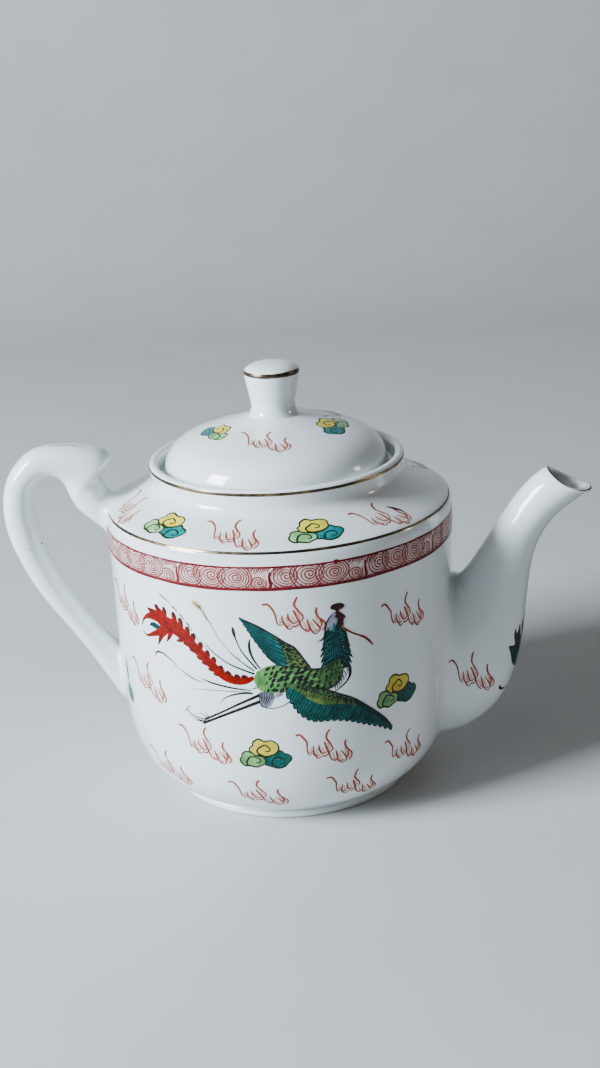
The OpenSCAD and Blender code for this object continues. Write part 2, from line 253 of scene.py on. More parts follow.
def cut(obj, cutters):
    """Cuts other solids out of a mesh and removes them."""
    for n, tool in enumerate(cutters):
        bpy.context.view_layer.objects.active = obj
        modifier = obj.modifiers.new("cut%d" % n, "BOOLEAN")
        modifier.operation = "DIFFERENCE"
        modifier.solver = "EXACT"
        modifier.object = tool
        bpy.ops.object.modifier_apply(modifier=modifier.name)
    for tool in cutters:
        mesh = tool.data
        bpy.data.objects.remove(tool)
        bpy.data.meshes.remove(mesh)
    obj.data.set_sharp_from_angle(angle=math.radians(SHARP))


def pin(name, radius, start, direction, length, around=32):
    """A round cutter from a point along a direction."""
    direction = unit(np.array(direction, float))
    side = unit(np.cross(direction, (0.0, 0.0, 1.0) if abs(direction[2]) < 0.9 else (1.0, 0.0, 0.0)))
    up = np.cross(direction, side)
    a = full_turn(around)[:, None]
    ring = np.array(start) + radius * (np.cos(a) * side + np.sin(a) * up)
    verts = np.vstack([ring, ring + length * direction])
    faces = grid_faces(2, around, True) + [list(range(around))[::-1], list(range(around, 2 * around))]
    return make(name, verts, faces, [])


# ---- the outside of the pot as a surface to join and paint on ----

def turn_z(points, degrees):
    """Points turned about Z."""
    a = math.radians(degrees)
    x, y, z = points[..., 0], points[..., 1], points[..., 2]
    return np.stack([x * math.cos(a) - y * math.sin(a), x * math.sin(a) + y * math.cos(a), z], -1)


def nearest_on(outline, points):
    """For each point, its height over a turned outline, the nearest point and the normal there."""
    flat = np.stack([np.hypot(points[..., 0], points[..., 1]), points[..., 2]], -1)
    a, b = outline[:-1], outline[1:]
    ab = b - a
    keep = np.linalg.norm(ab, axis=1) > 1e-6
    a, ab = a[keep], ab[keep]
    q = flat[..., None, :]
    t = np.clip(((q - a) * ab).sum(-1) / (ab ** 2).sum(-1), 0, 1)
    foot = a + t[..., None] * ab
    i = ((q - foot) ** 2).sum(-1).argmin(-1)
    foot = np.take_along_axis(foot, i[..., None, None], -2)[..., 0, :]
    slope = unit(ab[i])
    normal = np.stack([slope[..., 1], -slope[..., 0]], -1)
    height = ((flat - foot) * normal).sum(-1)
    around = unit(points[..., :2])
    place = np.concatenate([around * foot[..., :1], foot[..., 1:]], -1)
    out = np.concatenate([around * normal[..., :1], normal[..., 1:]], -1)
    return height, place, out


# ---- swept pieces: the spout and the handle ----

def placed(stations, way):
    """Stations in the part's own frame, on the side that way points to."""
    s = np.array(stations, float)
    return np.stack([way * (BODY_R + s[:, 0]), SHOULDER_Z + s[:, 1],
                     way * (BODY_R + s[:, 2]), SHOULDER_Z + s[:, 3], s[:, 4]], 1)


def section_points(stations, t, angle, thin=0.0, square=2.0):
    """Points of a swept piece at a station index and an angle round its section."""
    s = along(stations, t)
    mid = (s[..., 0:2] + s[..., 2:4]) / 2
    half = (s[..., 2:4] - s[..., 0:2]) / 2
    u, v = np.cos(angle), np.sin(angle)
    if square != 2:
        u = np.sign(u) * np.abs(u) ** (2 / square)
        v = np.sign(v) * np.abs(v) ** (2 / square)
    u = u * (1 - thin / np.linalg.norm(half, axis=-1))
    v = v * (s[..., 4] / 2 - thin)
    xz = mid + half * u[..., None]
    return np.stack([xz[..., 0], v, xz[..., 1]], -1)


def root_ring(surface, angles, t_from, t_to, samples=300):
    """Where each line along a swept piece meets the pot, going from t_from inside to t_to."""
    t = np.linspace(t_from, t_to, samples)
    points = surface(t[:, None] + 0 * angles, angles + 0 * t[:, None])
    height = nearest_on(OUTSIDE, points)[0]
    inside = height < 0
    last = samples - 1 - np.argmax(inside[::-1], axis=0)
    last = np.minimum(last, samples - 2)
    j = np.arange(len(angles))
    h0, h1 = height[last, j], height[last + 1, j]
    return t[last] + (t[last + 1] - t[last]) * np.clip(h0 / (h0 - h1), 0, 1)


def flare(surface, angles, t_root, way, reach_up, reach_out, steps=9):
    """Rings of clay drawn out from a swept piece on to the pot: each starts on the pot, out
    from the joint, and ends on the piece. Also gives the index where the piece goes on."""
    root = surface(t_root, angles)
    _, root, normal = nearest_on(OUTSIDE, root)
    run = np.roll(root, -1, 0) - np.roll(root, 1, 0)
    away = unit(np.cross(run, normal))
    if ((root - root.mean(0)) * away).sum() < 0:
        away = -away
    t_start = np.array(t_root, float)
    for _ in range(60):
        gone = np.linalg.norm(surface(t_start, angles) - root, axis=-1)
        t_start = t_start + way * np.clip(reach_up - gone, 0, None) * 0.02
    start = surface(t_start, angles)
    rise = nearest_on(OUTSIDE, start)[0]
    _, end, _ = nearest_on(OUTSIDE, root + away * reach_out[:, None])
    rings = []
    for s in np.linspace(1, 0, steps + 1)[:-1]:
        p = (1 - s) ** 2 * start + 2 * s * (1 - s) * root + s * s * end
        height, _, normal = nearest_on(OUTSIDE, p)
        rings.append(p + normal * ((1 - s) ** 2 * rise - height - 0.03 * s ** 4)[:, None])
    return rings, t_start


SPOUT = placed(SPOUT_STATIONS, 1)
HANDLE = placed(HANDLE_STATIONS, -1)
SPOUT_LAST = len(SPOUT) - 1
MOUTH = SPOUT[-1]
MOUTH_RUN = unit(np.array([MOUTH[2] - MOUTH[0], MOUTH[3] - MOUTH[1]]))
MOUTH_OUT = turn_z(np.array([-MOUTH_RUN[1], 0, MOUTH_RUN[0]]), -SPOUT_TURN)
# The part of the spout's length that bends with the dip of its lip.
NEAR_MOUTH = 0.16
# Reach of the clay at the joints, in millimetres. Spout: least, more at the sides, more on the
# inner side. Handle: up the handle, on to the pot, more at the sides.
SPOUT_REACH = (3.2, 5.6, 1.2)
HANDLE_TOP_REACH = (4.0, 2.6, 1.4)
HANDLE_LOW_REACH = (3.6, 2.2, 1.6)


def spout_surface(t, angle, thin=0.0):
    return turn_z(section_points(SPOUT, t, angle, thin), -SPOUT_TURN)


def mouth_dip(angles):
    """How far the lip dips on both sides of the spout."""
    return MOUTH_OUT * (MOUTH_DIP * np.sin(angles) ** 2)[:, None]


def lip_edges(angles):
    """The outer and the inner edge of the spout's lip."""
    low = LIP_WALL / 2 * MOUTH_OUT + mouth_dip(angles)
    return [spout_surface(SPOUT_LAST + 0 * angles, angles, thin) - low for thin in (0, LIP_WALL)]


def handle_surface(t, angle):
    return section_points(HANDLE, t, angle, 0.02, HANDLE_SQUARE)


def tube(name, rings, glaze, ends):
    """A mesh of closed rings of points, with faces that join or close its ends."""
    around = len(rings[0])
    faces = grid_faces(len(rings), around, True)
    return make(name, np.concatenate(rings), faces + ends((len(rings) - 1) * around, around), [glaze])


def build_spout(glaze):
    angles = full_turn(72)
    t_root = root_ring(spout_surface, angles, 0, 6)
    least, at_sides, inside = SPOUT_REACH
    reach = least + at_sides * np.sin(angles) ** 2 + inside * np.clip(-np.cos(angles), 0, 1)
    rings, t_start = flare(spout_surface, angles, t_root, 1, reach * 1.1, reach)
    for f in np.linspace(0, 1, 90)[:-1]:
        near = np.clip((f - (1 - NEAR_MOUTH)) / NEAR_MOUTH, 0, 1) ** 2
        rings.append(spout_surface(t_start + (SPOUT_LAST - t_start) * f, angles) - near * mouth_dip(angles))
    outer, inner = lip_edges(angles)
    rings.append(outer)
    for a in np.radians(np.linspace(20, 160, 8)):
        rings.append((outer + inner) / 2 + (outer - inner) / 2 * math.cos(a)
                     + MOUTH_OUT * LIP_WALL / 2 * math.sin(a))
    rings.append(inner)
    channel_root = root_ring(lambda t, a: spout_surface(t, a, SPOUT_WALL), angles, 0, 6)
    for f in np.linspace(0, 1, 50)[1:]:
        thin = LIP_WALL + (SPOUT_WALL - LIP_WALL) * min(1, f * 3.5)
        near = max(0, 1 - f / NEAR_MOUTH) ** 2
        rings.append(spout_surface(SPOUT_LAST + (channel_root - 0.15 - SPOUT_LAST) * f, angles, thin)
                     - near * mouth_dip(angles))
    return tube("spout_shell", rings, glaze, lambda last, around: [
        (last + j, last + (j + 1) % around, (j + 1) % around, j) for j in range(around)])


def build_handle(glaze):
    angles = full_turn(56)
    last = len(HANDLE) - 1
    ends = []
    for first, way, (up, out, at_sides) in ((0, 1, HANDLE_TOP_REACH), (last, -1, HANDLE_LOW_REACH)):
        t_root = root_ring(handle_surface, angles, first, first + 5 * way)
        ends.append(flare(handle_surface, angles, t_root, way, up, out + at_sides * np.sin(angles) ** 2))
    (rings, top_start), (low_rings, low_start) = ends
    for f in np.linspace(0, 1, 190):
        rings.append(handle_surface(top_start + (low_start - top_start) * f, angles))
    return tube("handle_loop", rings + low_rings[::-1], glaze, lambda last, around: [
        list(range(around))[::-1], list(range(last, last + around))])


def build_pot(glaze, biscuit):
    outline = np.vstack([FOOT_RING, OUTSIDE[:-8], RIM, LEDGE, INSIDE[::-1]])
    verts, faces, segment = turned(outline)
    middle = (outline[:-1] + outline[1:]) / 2
    bare = middle[:, 1] < BARE_FOOT_H
    pot = make("pot_shell", verts, faces, [glaze, biscuit], bare[segment].astype(int))
    holes = []
    for row in (-1, 0, 1):
        for column in (-1, 0, 1):
            if row == 0 or column != 0:
                y = (column if row == 0 else column / 2) * STRAINER_PITCH
                start = turn_z(np.array([INNER_R - 8, y, STRAINER_Z + row * STRAINER_PITCH]), -SPOUT_TURN)
                way = turn_z(np.array([1.0, 0, 0]), -SPOUT_TURN)
                holes.append(pin("hole", STRAINER_D / 2, start, way, WALL + 10))
    cut(pot, holes)
    return pot


def build_lid(glaze, biscuit):
    outline = np.vstack([[(0, LID_TOP + 0.1)], DOME, arc((LID_R - 1.4, LID_Z + 1.4), 1.4, 0, -90, 6),
                         [(FLANGE_R, LID_Z), (FLANGE_R, LEDGE_Z - FLANGE_DEPTH + 1)],
                         arc((FLANGE_R - 1, LEDGE_Z - FLANGE_DEPTH + 1), 1, 0, -90, 4),
                         [(FLANGE_R - FLANGE_WALL, LEDGE_Z - FLANGE_DEPTH)], DOME_UNDER])
    verts, faces, segment = turned(outline, 192)
    middle = (outline[:-1] + outline[1:]) / 2
    bare = (middle[:, 1] < LID_Z + 0.5) & (middle[:, 0] > FLANGE_R - 0.5)
    lid = make("lid_shell", verts, faces, [glaze, biscuit], bare[segment].astype(int))
    cut(lid, [pin("vent", VENT_D / 2, (0, VENT_R, LID_Z), (0, 0, 1), LID_RISE + 5, 24)])
    return lid


def build_knob(glaze):
    outline = np.vstack([[(0, LID_TOP - 2.6), (WAIST_R, LID_TOP - 2.6),
                          (KNOB_FOOT_R - 0.4, KNOB_FOOT_Z - 0.8)], KNOB_SIDE, KNOB_CAP])
    verts, faces, _ = turned(outline, 96)
    return make("knob", verts, faces, [glaze])


# ---- materials ----

class Look:
    """A material of one shader, fed by constants and procedural textures."""

    def __init__(self, name):
        self.material = bpy.data.materials.new(name)
        self.material.use_nodes = True
        self.tree = self.material.node_tree
        self.tree.nodes.clear()
        self.shader = self.node("ShaderNodeBsdfPrincipled")
        self.feed(self.node("ShaderNodeOutputMaterial"), {"Surface": self.shader.outputs["BSDF"]})
        self.place = self.node("ShaderNodeTexCoord").outputs["Object"]

    def feed(self, node, values):
        """Gives inputs of a node a constant or the output of another node."""
        for key, value in values.items():
            if isinstance(value, bpy.types.NodeSocket):
                self.tree.links.new(value, node.inputs[key])
            else:
                node.inputs[key].default_value = value
        return node

    def node(self, kind, values=None):
        return self.feed(self.tree.nodes.new(kind), values or {})

    def noise(self, size_mm, detail):
        return self.node("ShaderNodeTexNoise", {"Scale": 1 / (size_mm * MM), "Detail": detail,
                                                "Vector": self.place}).outputs["Fac"]

    def ramp(self, value, *stops):
        """Blends between colours or greys, each at its position."""
        node = self.node("ShaderNodeValToRGB", {"Fac": value})
        elements = node.color_ramp.elements
        while len(elements) < len(stops):
            elements.new(0.5)
        for element, (position, colour) in zip(elements, stops):
            element.position = position
            element.color = (*np.broadcast_to(colour, 3).tolist(), 1)
        return node.outputs["Color"]

    def bump(self, height, strength, distance_mm, **normal):
        return self.node("ShaderNodeBump", {"Strength": strength, "Distance": distance_mm * MM,
                                            "Height": height, **normal}).outputs["Normal"]

    def mix(self, factor, under, over):
        node = self.node("ShaderNodeMix")
        node.data_type = "RGBA"
        return self.feed(node, {"Factor": factor, "A": under, "B": (*over, 1)}).outputs["Result"]

    def shaded(self, values):
        self.feed(self.shader, values)
        return self.material


def porcelain_glaze():
    """Bluish white glaze over porcelain, faintly uneven, with a few iron specks."""
    look = Look("porcelain_glaze")
    tint = look.ramp(look.noise(38, 3), (0.35, (0.735, 0.785, 0.815)), (0.65, (0.785, 0.815, 0.83)))
    cells = look.node("ShaderNodeTexVoronoi", {"Scale": 1 / (13 * MM), "Vector": look.place})
    speck = look.ramp(cells.outputs["Distance"], (0.014, 1), (0.026, 0))
    wave = look.bump(look.noise(26, 1), 0.35, 0.22)
    fine = look.bump(look.noise(1.6, 2), 0.10, 0.012, Normal=wave)
    return look.shaded({
        "Base Color": look.mix(speck, tint, (0.10, 0.07, 0.05)),
        "Roughness": look.ramp(look.noise(6, 2), (0.3, 0.20), (0.7, 0.27)),
        "Normal": fine, "Coat Normal": fine,
        "Coat Weight": 1.0, "Coat Roughness": 0.03, "Coat IOR": 1.5, "Specular IOR Level": 0.2,
        "Subsurface Weight": 0.06, "Subsurface Radius": (0.003, 0.0026, 0.0022)})


def biscuit_clay():
    """Unglazed porcelain where the pot stood in the kiln."""
    look = Look("unglazed_porcelain")
    return look.shaded({
        "Base Color": look.ramp(look.noise(1.2, 4), (0.3, (0.62, 0.58, 0.52)), (0.7, (0.76, 0.74, 0.70))),
        "Roughness": 0.85, "Normal": look.bump(look.noise(0.4, 3), 0.4, 0.05)})


def gilding():
    """Fired gold, worn in places and darkened overall as a painted dark reflection, with brighter places at
    random.
    """
    look = Look("worn_gilding_darkened_for_reflection")
    return look.shaded({
        # The dark bronze stands for the dark room the gold reflects (painted reflection), besides wear.
        "Base Color": look.ramp(look.noise(16, 4), (0.40, (0.055, 0.042, 0.032)),
                                (0.54, (0.13, 0.09, 0.055)), (0.68, (0.42, 0.28, 0.13))),
        "Roughness": look.ramp(look.noise(2, 3), (0.3, 0.22), (0.7, 0.42)),
        "Metallic": 0.9, "Normal": look.bump(look.noise(0.7, 3), 0.15, 0.02)})


def enamel(name, thin, thick, size_mm):
    """Painted colour that pools darker in places."""
    look = Look(name)
    return look.shaded({
        "Base Color": look.ramp(look.noise(size_mm, 3), (0.36, thick), (0.62, thin)),
        "Roughness": look.ramp(look.noise(1.1, 2), (0.3, 0.10), (0.7, 0.18)),
        "Normal": look.bump(look.noise(0.5, 2), 0.2, 0.02), "Specular IOR Level": 0.12})


GLAZE = porcelain_glaze()
BISCUIT = biscuit_clay()
GOLD = gilding()


# ---- the clay pieces ----

def settle(obj, body, slot, *nodes):
    """Says what a piece rides on and which nodes of the part it replaces; slot is not used."""
    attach(obj, body)
    if nodes:
        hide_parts(*nodes)


settle(build_pot(GLAZE, BISCUIT), "pot", "porcelain", "body")
spout = build_spout(GLAZE)
handle = build_handle(GLAZE)
settle(spout, "pot", "porcelain", "spout")
settle(handle, "pot", "porcelain", "handle")
settle(build_lid(GLAZE, BISCUIT), "cover", "porcelain", "lid")
settle(build_knob(GLAZE), "cover", "porcelain", "lid_knob")


# ---- painting ----

# Thickness of paint in millimetres: at its edge, more in the middle of a stroke, and each level.
BARE = 0.005
RIDGE = 0.014
LAYER = 0.015
# The thinnest stroke, the width from which one has five points across, and its sharp edges.
HAIR = 0.04
BROAD = 1.4
PAINT_SHARP = 60.0
# How far before a mesh a drawing is thrown from, and how far on a miss looks for the mesh.
CAST_FROM = 45.0
CAST_MISS = 20.0


def run_along(line):
    """How far each point of a line is from its start, along the line."""
    return np.concatenate([[0], np.cumsum(np.linalg.norm(np.diff(line, axis=0), axis=1))])


def resampled(line, count):
    """A smooth line through points, with evenly spread rows."""
    line = np.array(line, float)
    fine = along(line, np.linspace(0, len(line) - 1, 12 * len(line)))
    run = run_along(fine)
    even = np.linspace(0, run[-1], count)
    return np.stack([np.interp(even, run, fine[:, k]) for k in range(fine.shape[1])], 1)


def turned_chart(outline, azimuth, height, spin=0.0, size=1.0, flip=1):
    """A drawing laid on a turned surface: x runs round to the right, y up along the outline.
    It gives the place and the normal of each point."""
    run = run_along(outline)
    origin = np.interp(height, outline[:, 1], run)
    slope = unit(np.gradient(outline, run, axis=0))
    c, s = math.cos(math.radians(spin)) * size, math.sin(math.radians(spin)) * size

    def chart(points):
        x = (points[..., 0] * c - points[..., 1] * s) * flip
        y = points[..., 0] * s + points[..., 1] * c
        at = origin + y
        r, z, dr, dz = (np.interp(at, run, v) for v in (*outline.T, *slope.T))
        a = math.radians(azimuth) + x / r
        return (np.stack([r * np.cos(a), r * np.sin(a), z], -1),
                np.stack([dz * np.cos(a), dz * np.sin(a), -dr], -1))
    return chart


def cast_chart(obj, eye, right, up, spin=0.0, size=1.0):
    """A drawing thrown straight on to a mesh from a point in front of it."""
    eye, right, up = (np.array(v, float) for v in (eye, right, up))
    way = Vector(-np.cross(right, up))
    tree = BVHTree.FromPolygons([v.co for v in obj.data.vertices],
                                [tuple(p.vertices) for p in obj.data.polygons])
    c, s = math.cos(math.radians(spin)) * size, math.sin(math.radians(spin)) * size

    def chart(points):
        flat = points.reshape(-1, 2)
        places, normals = [], []
        for x, y in flat:
            start = eye + right * (x * c - y * s) + up * (x * s + y * c)
            place, normal, _, _ = tree.ray_cast(Vector(start * MM), way)
            if place is None:
                place, normal, _, _ = tree.find_nearest(Vector(start * MM) + way * CAST_MISS * MM)
            places.append(np.array(place) / MM)
            normals.append(np.array(normal))
        return (np.array(places).reshape(*points.shape[:-1], 3),
                np.array(normals).reshape(*points.shape[:-1], 3))
    return chart


class Paint:
    """Strokes and fills of one colour, gathered into one mesh."""
    every = []

    def __init__(self, name, material, body="pot", slot="enamel", nodes=()):
        self.name, self.material, self.body, self.slot, self.nodes = name, material, body, slot, nodes
        self.verts, self.faces, self.count = [], [], 0
        Paint.every.append(self)

    def patch(self, chart, points, lift):
        """A grid of flat points, each lifted off the surface."""
        place, normal = chart(points)
        across = np.diff(place, axis=1)[:-1]
        down = np.diff(place, axis=0)[:, :-1]
        if (np.cross(across, down) * normal[:-1, :-1]).sum() < 0:
            place, normal, lift = place[:, ::-1], normal[:, ::-1], lift[:, ::-1]
        rows, columns = points.shape[:2]
        self.verts.append((place + normal * lift[..., None]).reshape(-1, 3))
        self.faces += grid_faces(rows, columns, False, self.count)
        self.count += rows * columns

    def stroke(self, chart, line, width, level=0, step=0.8):
        """A brush stroke; width is one value or some, spread evenly over the line."""
        line = np.array(line, float)
        width = np.interp(np.linspace(0, 1, len(line)), np.linspace(0, 1, np.size(width)), np.ravel(width))
        length = run_along(line)[-1]
        path = resampled(np.column_stack([line, width]), max(3, int(length / step) + 2))
        path, width = path[:, :2], np.clip(path[:, 2], HAIR, None)
        run = unit(np.gradient(path, axis=0))
        right = np.stack([run[:, 1], -run[:, 0]], 1)
        u = np.linspace(-1, 1, 3 if width.max() < BROAD else 5)
        points = path[:, None] + right[:, None] * (u[None, :, None] * width[:, None, None] / 2)
        lift = BARE + LAYER * level + RIDGE * (1 - u ** 2)
        self.patch(chart, points, np.broadcast_to(lift, points.shape[:2]))

    def hatch(self, chart, first, last, count, width, level, step=0.8):
        """Strokes at even steps from one line to another."""
        for s in np.linspace(0, 1, count):
            self.stroke(chart, (1 - s) * np.array(first) + s * np.array(last), width, level, step)

    def between(self, chart, a, b, level, rows, columns):
        """A fill between two lines that run the same way."""
        a, b = resampled(a, rows), resampled(b, rows)
        u = np.linspace(0, 1, columns)
        points = a[:, None] * (1 - u[None, :, None]) + b[:, None] * u[None, :, None]
        edge = np.minimum(1, 6 * np.minimum(u, 1 - u))
        self.patch(chart, points, np.broadcast_to(BARE + LAYER * level + RIDGE * edge, points.shape[:2]))

    def fill(self, chart, outline, level=0, rings=(0.02, 0.35, 0.7, 0.93, 1.0)):
        """A fill of a closed outline, drawn out from its middle."""
        outline = np.array(outline, float)
        wrapped = np.vstack([outline[-1:], outline, outline[:2]])
        ring = along(wrapped, np.linspace(1, len(outline) + 1, 3 * len(outline) + 1))
        middle = ring[:-1].mean(0)
        s = np.array(rings)
        points = middle + (ring[None] - middle) * s[:, None, None]
        lift = BARE + LAYER * level + RIDGE * np.minimum(1, (1 - s) * 12)
        self.patch(chart, points, np.broadcast_to(lift[:, None], points.shape[:2]))

    def build(self):
        if self.verts:
            obj = make(self.name, np.concatenate(self.verts), self.faces, [self.material],
                       sharp=PAINT_SHARP)
            settle(obj, self.body, self.slot, *self.nodes)


def closed(outline):
    return np.vstack([outline, outline[:1]])


# Colours: where the enamel lies thin, where it has pooled, and how far apart the pools lie.
INK = enamel("ink_black", (0.022, 0.02, 0.022), (0.006, 0.006, 0.008), 2.2)
IRON = enamel("iron_red_line", (0.36, 0.08, 0.05), (0.2, 0.03, 0.018), 1.6)
WASH = enamel("pink_wash", (0.7, 0.5, 0.44), (0.62, 0.33, 0.26), 3.0)
RED = enamel("tail_red", (0.22, 0.003, 0.0005), (0.14, 0.002, 0.0003), 3.0)
DARK_RED = enamel("dark_red", (0.06, 0.009, 0.008), (0.022, 0.004, 0.004), 2.0)
TEAL = enamel("teal", (0.003, 0.15, 0.142), (0.001, 0.068, 0.066), 2.6)
DEEP_TEAL = enamel("deep_teal", (0.003, 0.046, 0.046), (0.001, 0.018, 0.02), 2.0)
SKY_TEAL = enamel("cloud_teal", (0.008, 0.23, 0.235), (0.003, 0.13, 0.14), 3.0)
GREEN = enamel("leaf_green", (0.13, 0.31, 0.085), (0.055, 0.17, 0.045), 4.0)
MOSS = enamel("moss_green", (0.06, 0.14, 0.045), (0.026, 0.07, 0.024), 3.0)
OLIVE = enamel("yellow_green", (0.12, 0.19, 0.045), (0.045, 0.1, 0.025), 2.4)
PALE_GREEN = enamel("cloud_green", (0.33, 0.55, 0.27), (0.15, 0.38, 0.14), 4.0)
YELLOW = enamel("cloud_yellow", (0.7, 0.62, 0.085), (0.6, 0.45, 0.035), 4.0)
# The low_ enamels are darker copies of the cloud teal, green and yellow: painted shade for clouds and the
# near wing low on the body.
SHADED_TEAL = enamel("low_teal", (0.003, 0.105, 0.096), (0.001, 0.045, 0.044), 3.0)
SHADED_GREEN = enamel("low_cloud_green", (0.2, 0.38, 0.15), (0.085, 0.22, 0.07), 4.0)
SHADED_YELLOW = enamel("low_cloud_yellow", (0.56, 0.48, 0.07), (0.5, 0.34, 0.028), 4.0)
LILAC = enamel("lilac", (0.3, 0.29, 0.38), (0.14, 0.13, 0.2), 2.0)
FADED = enamel("faded_gold", (0.56, 0.48, 0.36), (0.42, 0.29, 0.16), 1.5)
BORDER = enamel("border_red", (0.165, 0.008, 0.013), (0.08, 0.004, 0.008), 2.5)
SCROLL = enamel("border_scroll", (0.26, 0.052, 0.056), (0.14, 0.022, 0.026), 1.5)
GROUND = enamel("border_ground", (0.62, 0.49, 0.48), (0.57, 0.34, 0.32), 5.0)
OUTLINE = enamel("cloud_outline", (0.022, 0.035, 0.012), (0.007, 0.015, 0.007), 1.5)

SIDE = np.vstack([BASE, EDGE[1:], SHOULDER])
LID_UP = DOME[::-1]


# ---- flames and clouds ----

FLAME_LONG = [
    [(-12.3, 5.2), (-10.9, 5.7), (-9.8, 5.2), (-8.6, 3.6), (-7.8, 2), (-7.5, 0), (-7.1, -2.8), (-6.1, -3.7),
     (-4.9, -3.4)],
    [(1.8, 7.3), (0.8, 6), (0.3, 4.6), (0.4, 3.3), (2.1, 0.7), (2.9, -0.7), (3.1, -1.9), (2.5, -2.9),
     (1.5, -3.1)],
    [(8.9, 1.6), (8.4, 0.4), (8.5, -1), (9.3, -2.8), (11.2, -5), (11.6, -6.6), (10.9, -7.9), (9.9, -8.4)],
    [(-0.4, 1.7), (0.8, -1.6), (1.5, -3.6), (2.2, -5.6), (2.9, -6.9), (4.1, -7.9), (5.3, -7.5)]]
FLAME_FINGERS = [
    [(-4.9, 0.3), (-4.9, -1.6), (-4.5, -3.6), (-3.1, -5.6), (-2, -5.5), (-1.2, -4.7)],
    [(-2.7, 0.7), (-2.5, -1.1), (-1.6, -3.3), (-0.1, -3.7), (1.1, -2.7)],
    [(4.5, -2.6), (4.9, -4.9), (5.8, -7.6), (7.4, -9.3), (8.6, -8.7)],
    [(6.6, -3.1), (8.5, -5.9), (9.2, -7.2), (8.9, -8.4), (8, -9.1)],
    [(-1.3, -4.5), (-0.3, -5), (0.8, -4.6), (1.5, -3.6)],
    [(9.6, -3.6), (10.1, -5.4), (9.5, -6.9)]]
FLAME_CURLS = [[(-6.7, -2.6), (-5.8, -2.7), (-4.8, -2.3)], [(-3.9, -3.8), (-2.9, -4.6), (-2, -3.8)],
               [(3.6, -6.7), (4.6, -7.2), (5.3, -6.5)], [(6.6, -7.8), (7.6, -8.4), (8.3, -7.5)]]
FLAME_WASH = [[(-6, -0.3), (-5.9, -2.9)], [(-3.7, -0.9), (-3.1, -4.4)], [(-1.4, -0.6), (-0.3, -3.2)],
              [(0.9, 1.4), (2, -2.2)], [(3.1, -3.6), (4.3, -7.2)], [(5.7, -4.1), (7.3, -8.3)],
              [(8.1, -2.2), (9.7, -6.4)], [(10.8, -4.8), (10.2, -7.8)]]

# The three lobes of a cloud: paint, outline and the curl inside.
CLOUD = [
    ("teal", [(0.2, -1.1), (1.8, -0.7), (3.5, 0), (5.1, 0.9), (6.3, 1.1), (7.4, 0), (8.8, -0.5), (9.8, -1.6),
              (9.8, -2.8), (8.4, -4.2), (6.8, -5.3), (4.7, -5.7), (2.6, -5.1), (0.9, -4.4), (-0.1, -4)],
     [(2.3, -4.7), (2.5, -3.5), (3, -2.3), (4, -1.6), (5.4, -1.4), (6.8, -2.1), (7.4, -3.2), (6.5, -3.9),
      (5.3, -3.9)]),
    ("green", [(-8.8, -0.7), (-8.6, 0.4), (-7.5, 1.2), (-6.1, 1.3), (-5.1, 1), (-3.7, 0), (-2.3, -0.4),
               (-0.9, -0.8), (0, -1.6), (0, -2.8), (-0.7, -3.9), (-2.3, -4.5), (-3.7, -5), (-5.3, -4.7),
               (-6.8, -4.2), (-8.1, -4.3), (-9.3, -3.3), (-9.8, -2.3), (-9.4, -1.4)],
     [(-7, -4.2), (-7.3, -3.2), (-6.8, -2.3), (-6, -1.2), (-4.9, -0.6), (-3.7, -0.9), (-2.3, -1.6),
      (-1.9, -2.5), (-2.6, -3.2), (-3.5, -3.1)]),
    ("yellow", [(-5.4, 1.6), (-5.3, 2.6), (-4, 3.7), (-3.7, 4.9), (-2.6, 5.8), (-1.2, 6.1), (-0.2, 5.6),
                (0.9, 5.1), (2.3, 5.2), (4, 4.9), (5.3, 3.9), (5.7, 2.6), (5.4, 1.2), (4.4, 0.2),
                (2.6, -0.5), (0.9, -0.9), (-1.1, -0.7), (-2.3, -0.2), (-3.3, -0.3), (-4.6, 0.6)],
     [(-0.2, -0.7), (-1.8, 0), (-2.5, 0.9), (-2.5, 1.8), (-1.9, 2.5), (-0.9, 3), (0.3, 3.7), (1.2, 3.3),
      (2.3, 2.3), (2.3, 1.4), (1.6, 1.1), (0.4, 1.4)])]


def palette(table, body="pot", end=""):
    """Paints by their short names, one set for each moving body."""
    return {key: Paint(name + end, material, body) for key, (name, material) in table.items()}


def wobble(points, rng, amount):
    """Points as an unsteady hand puts them."""
    return np.array(points, float) + rng.normal(0, amount, (len(points), 2))


# How a flame is painted: lines, wobble of the hand, paint, widths, level and length of a step.
FLAME = [(FLAME_WASH, 0.1, "wash", (0.7, 1.6, 1.3), 0, 0.8),
         (FLAME_LONG, 0.09, "iron", (0.75, 1.0, 0.85, 0.7, 0.6, 0.4), 1, 0.6),
         (FLAME_FINGERS, 0.09, "iron", (0.42, 0.85, 0.8, 0.6, 0.4), 1, 0.6),
         (FLAME_CURLS, 0.06, "iron", (0.3, 0.45, 0.3), 2, 0.6)]


def flame(paints, chart, rng, stretch=(1, 1)):
    for lines, amount, paint, width, level, step in FLAME:
        for line in lines:
            paints[paint].stroke(chart, wobble(line, rng, amount) * stretch, width, level, step)


def cloud(paints, chart, rng, shade="", stretch=(1, 1)):
    for level, (colour, lobe, curl) in enumerate(CLOUD):
        lobe = wobble(lobe, rng, 0.09) * stretch
        curl = wobble(curl, rng, 0.08) * stretch
        # A shade of low_ fills with the darker paint copies: painted shade.
        paints[shade + colour].fill(chart, lobe, level)
        paints["outline"].stroke(chart, closed(lobe), (0.5, 0.75, 0.5, 0.85, 0.6), level + 1, 0.6)
        paints["outline"].stroke(chart, curl, (0.8, 0.7, 0.6, 0.5), level + 1, 0.6)


# ---- the border of scrolls ----

BORDER_LOW = SHOULDER_Z - 14.0
BORDER_HIGH = SHOULDER_Z - 4.9
BORDER_MID = (BORDER_LOW + BORDER_HIGH) / 2
HALF = (BORDER_HIGH - BORDER_LOW) / 2
REPEATS = 12
TICK_AZIMUTH = -93.6
THICK_AZIMUTH = -73.6
ROOT_GAP = 8.4
BORDER_SEED = 7
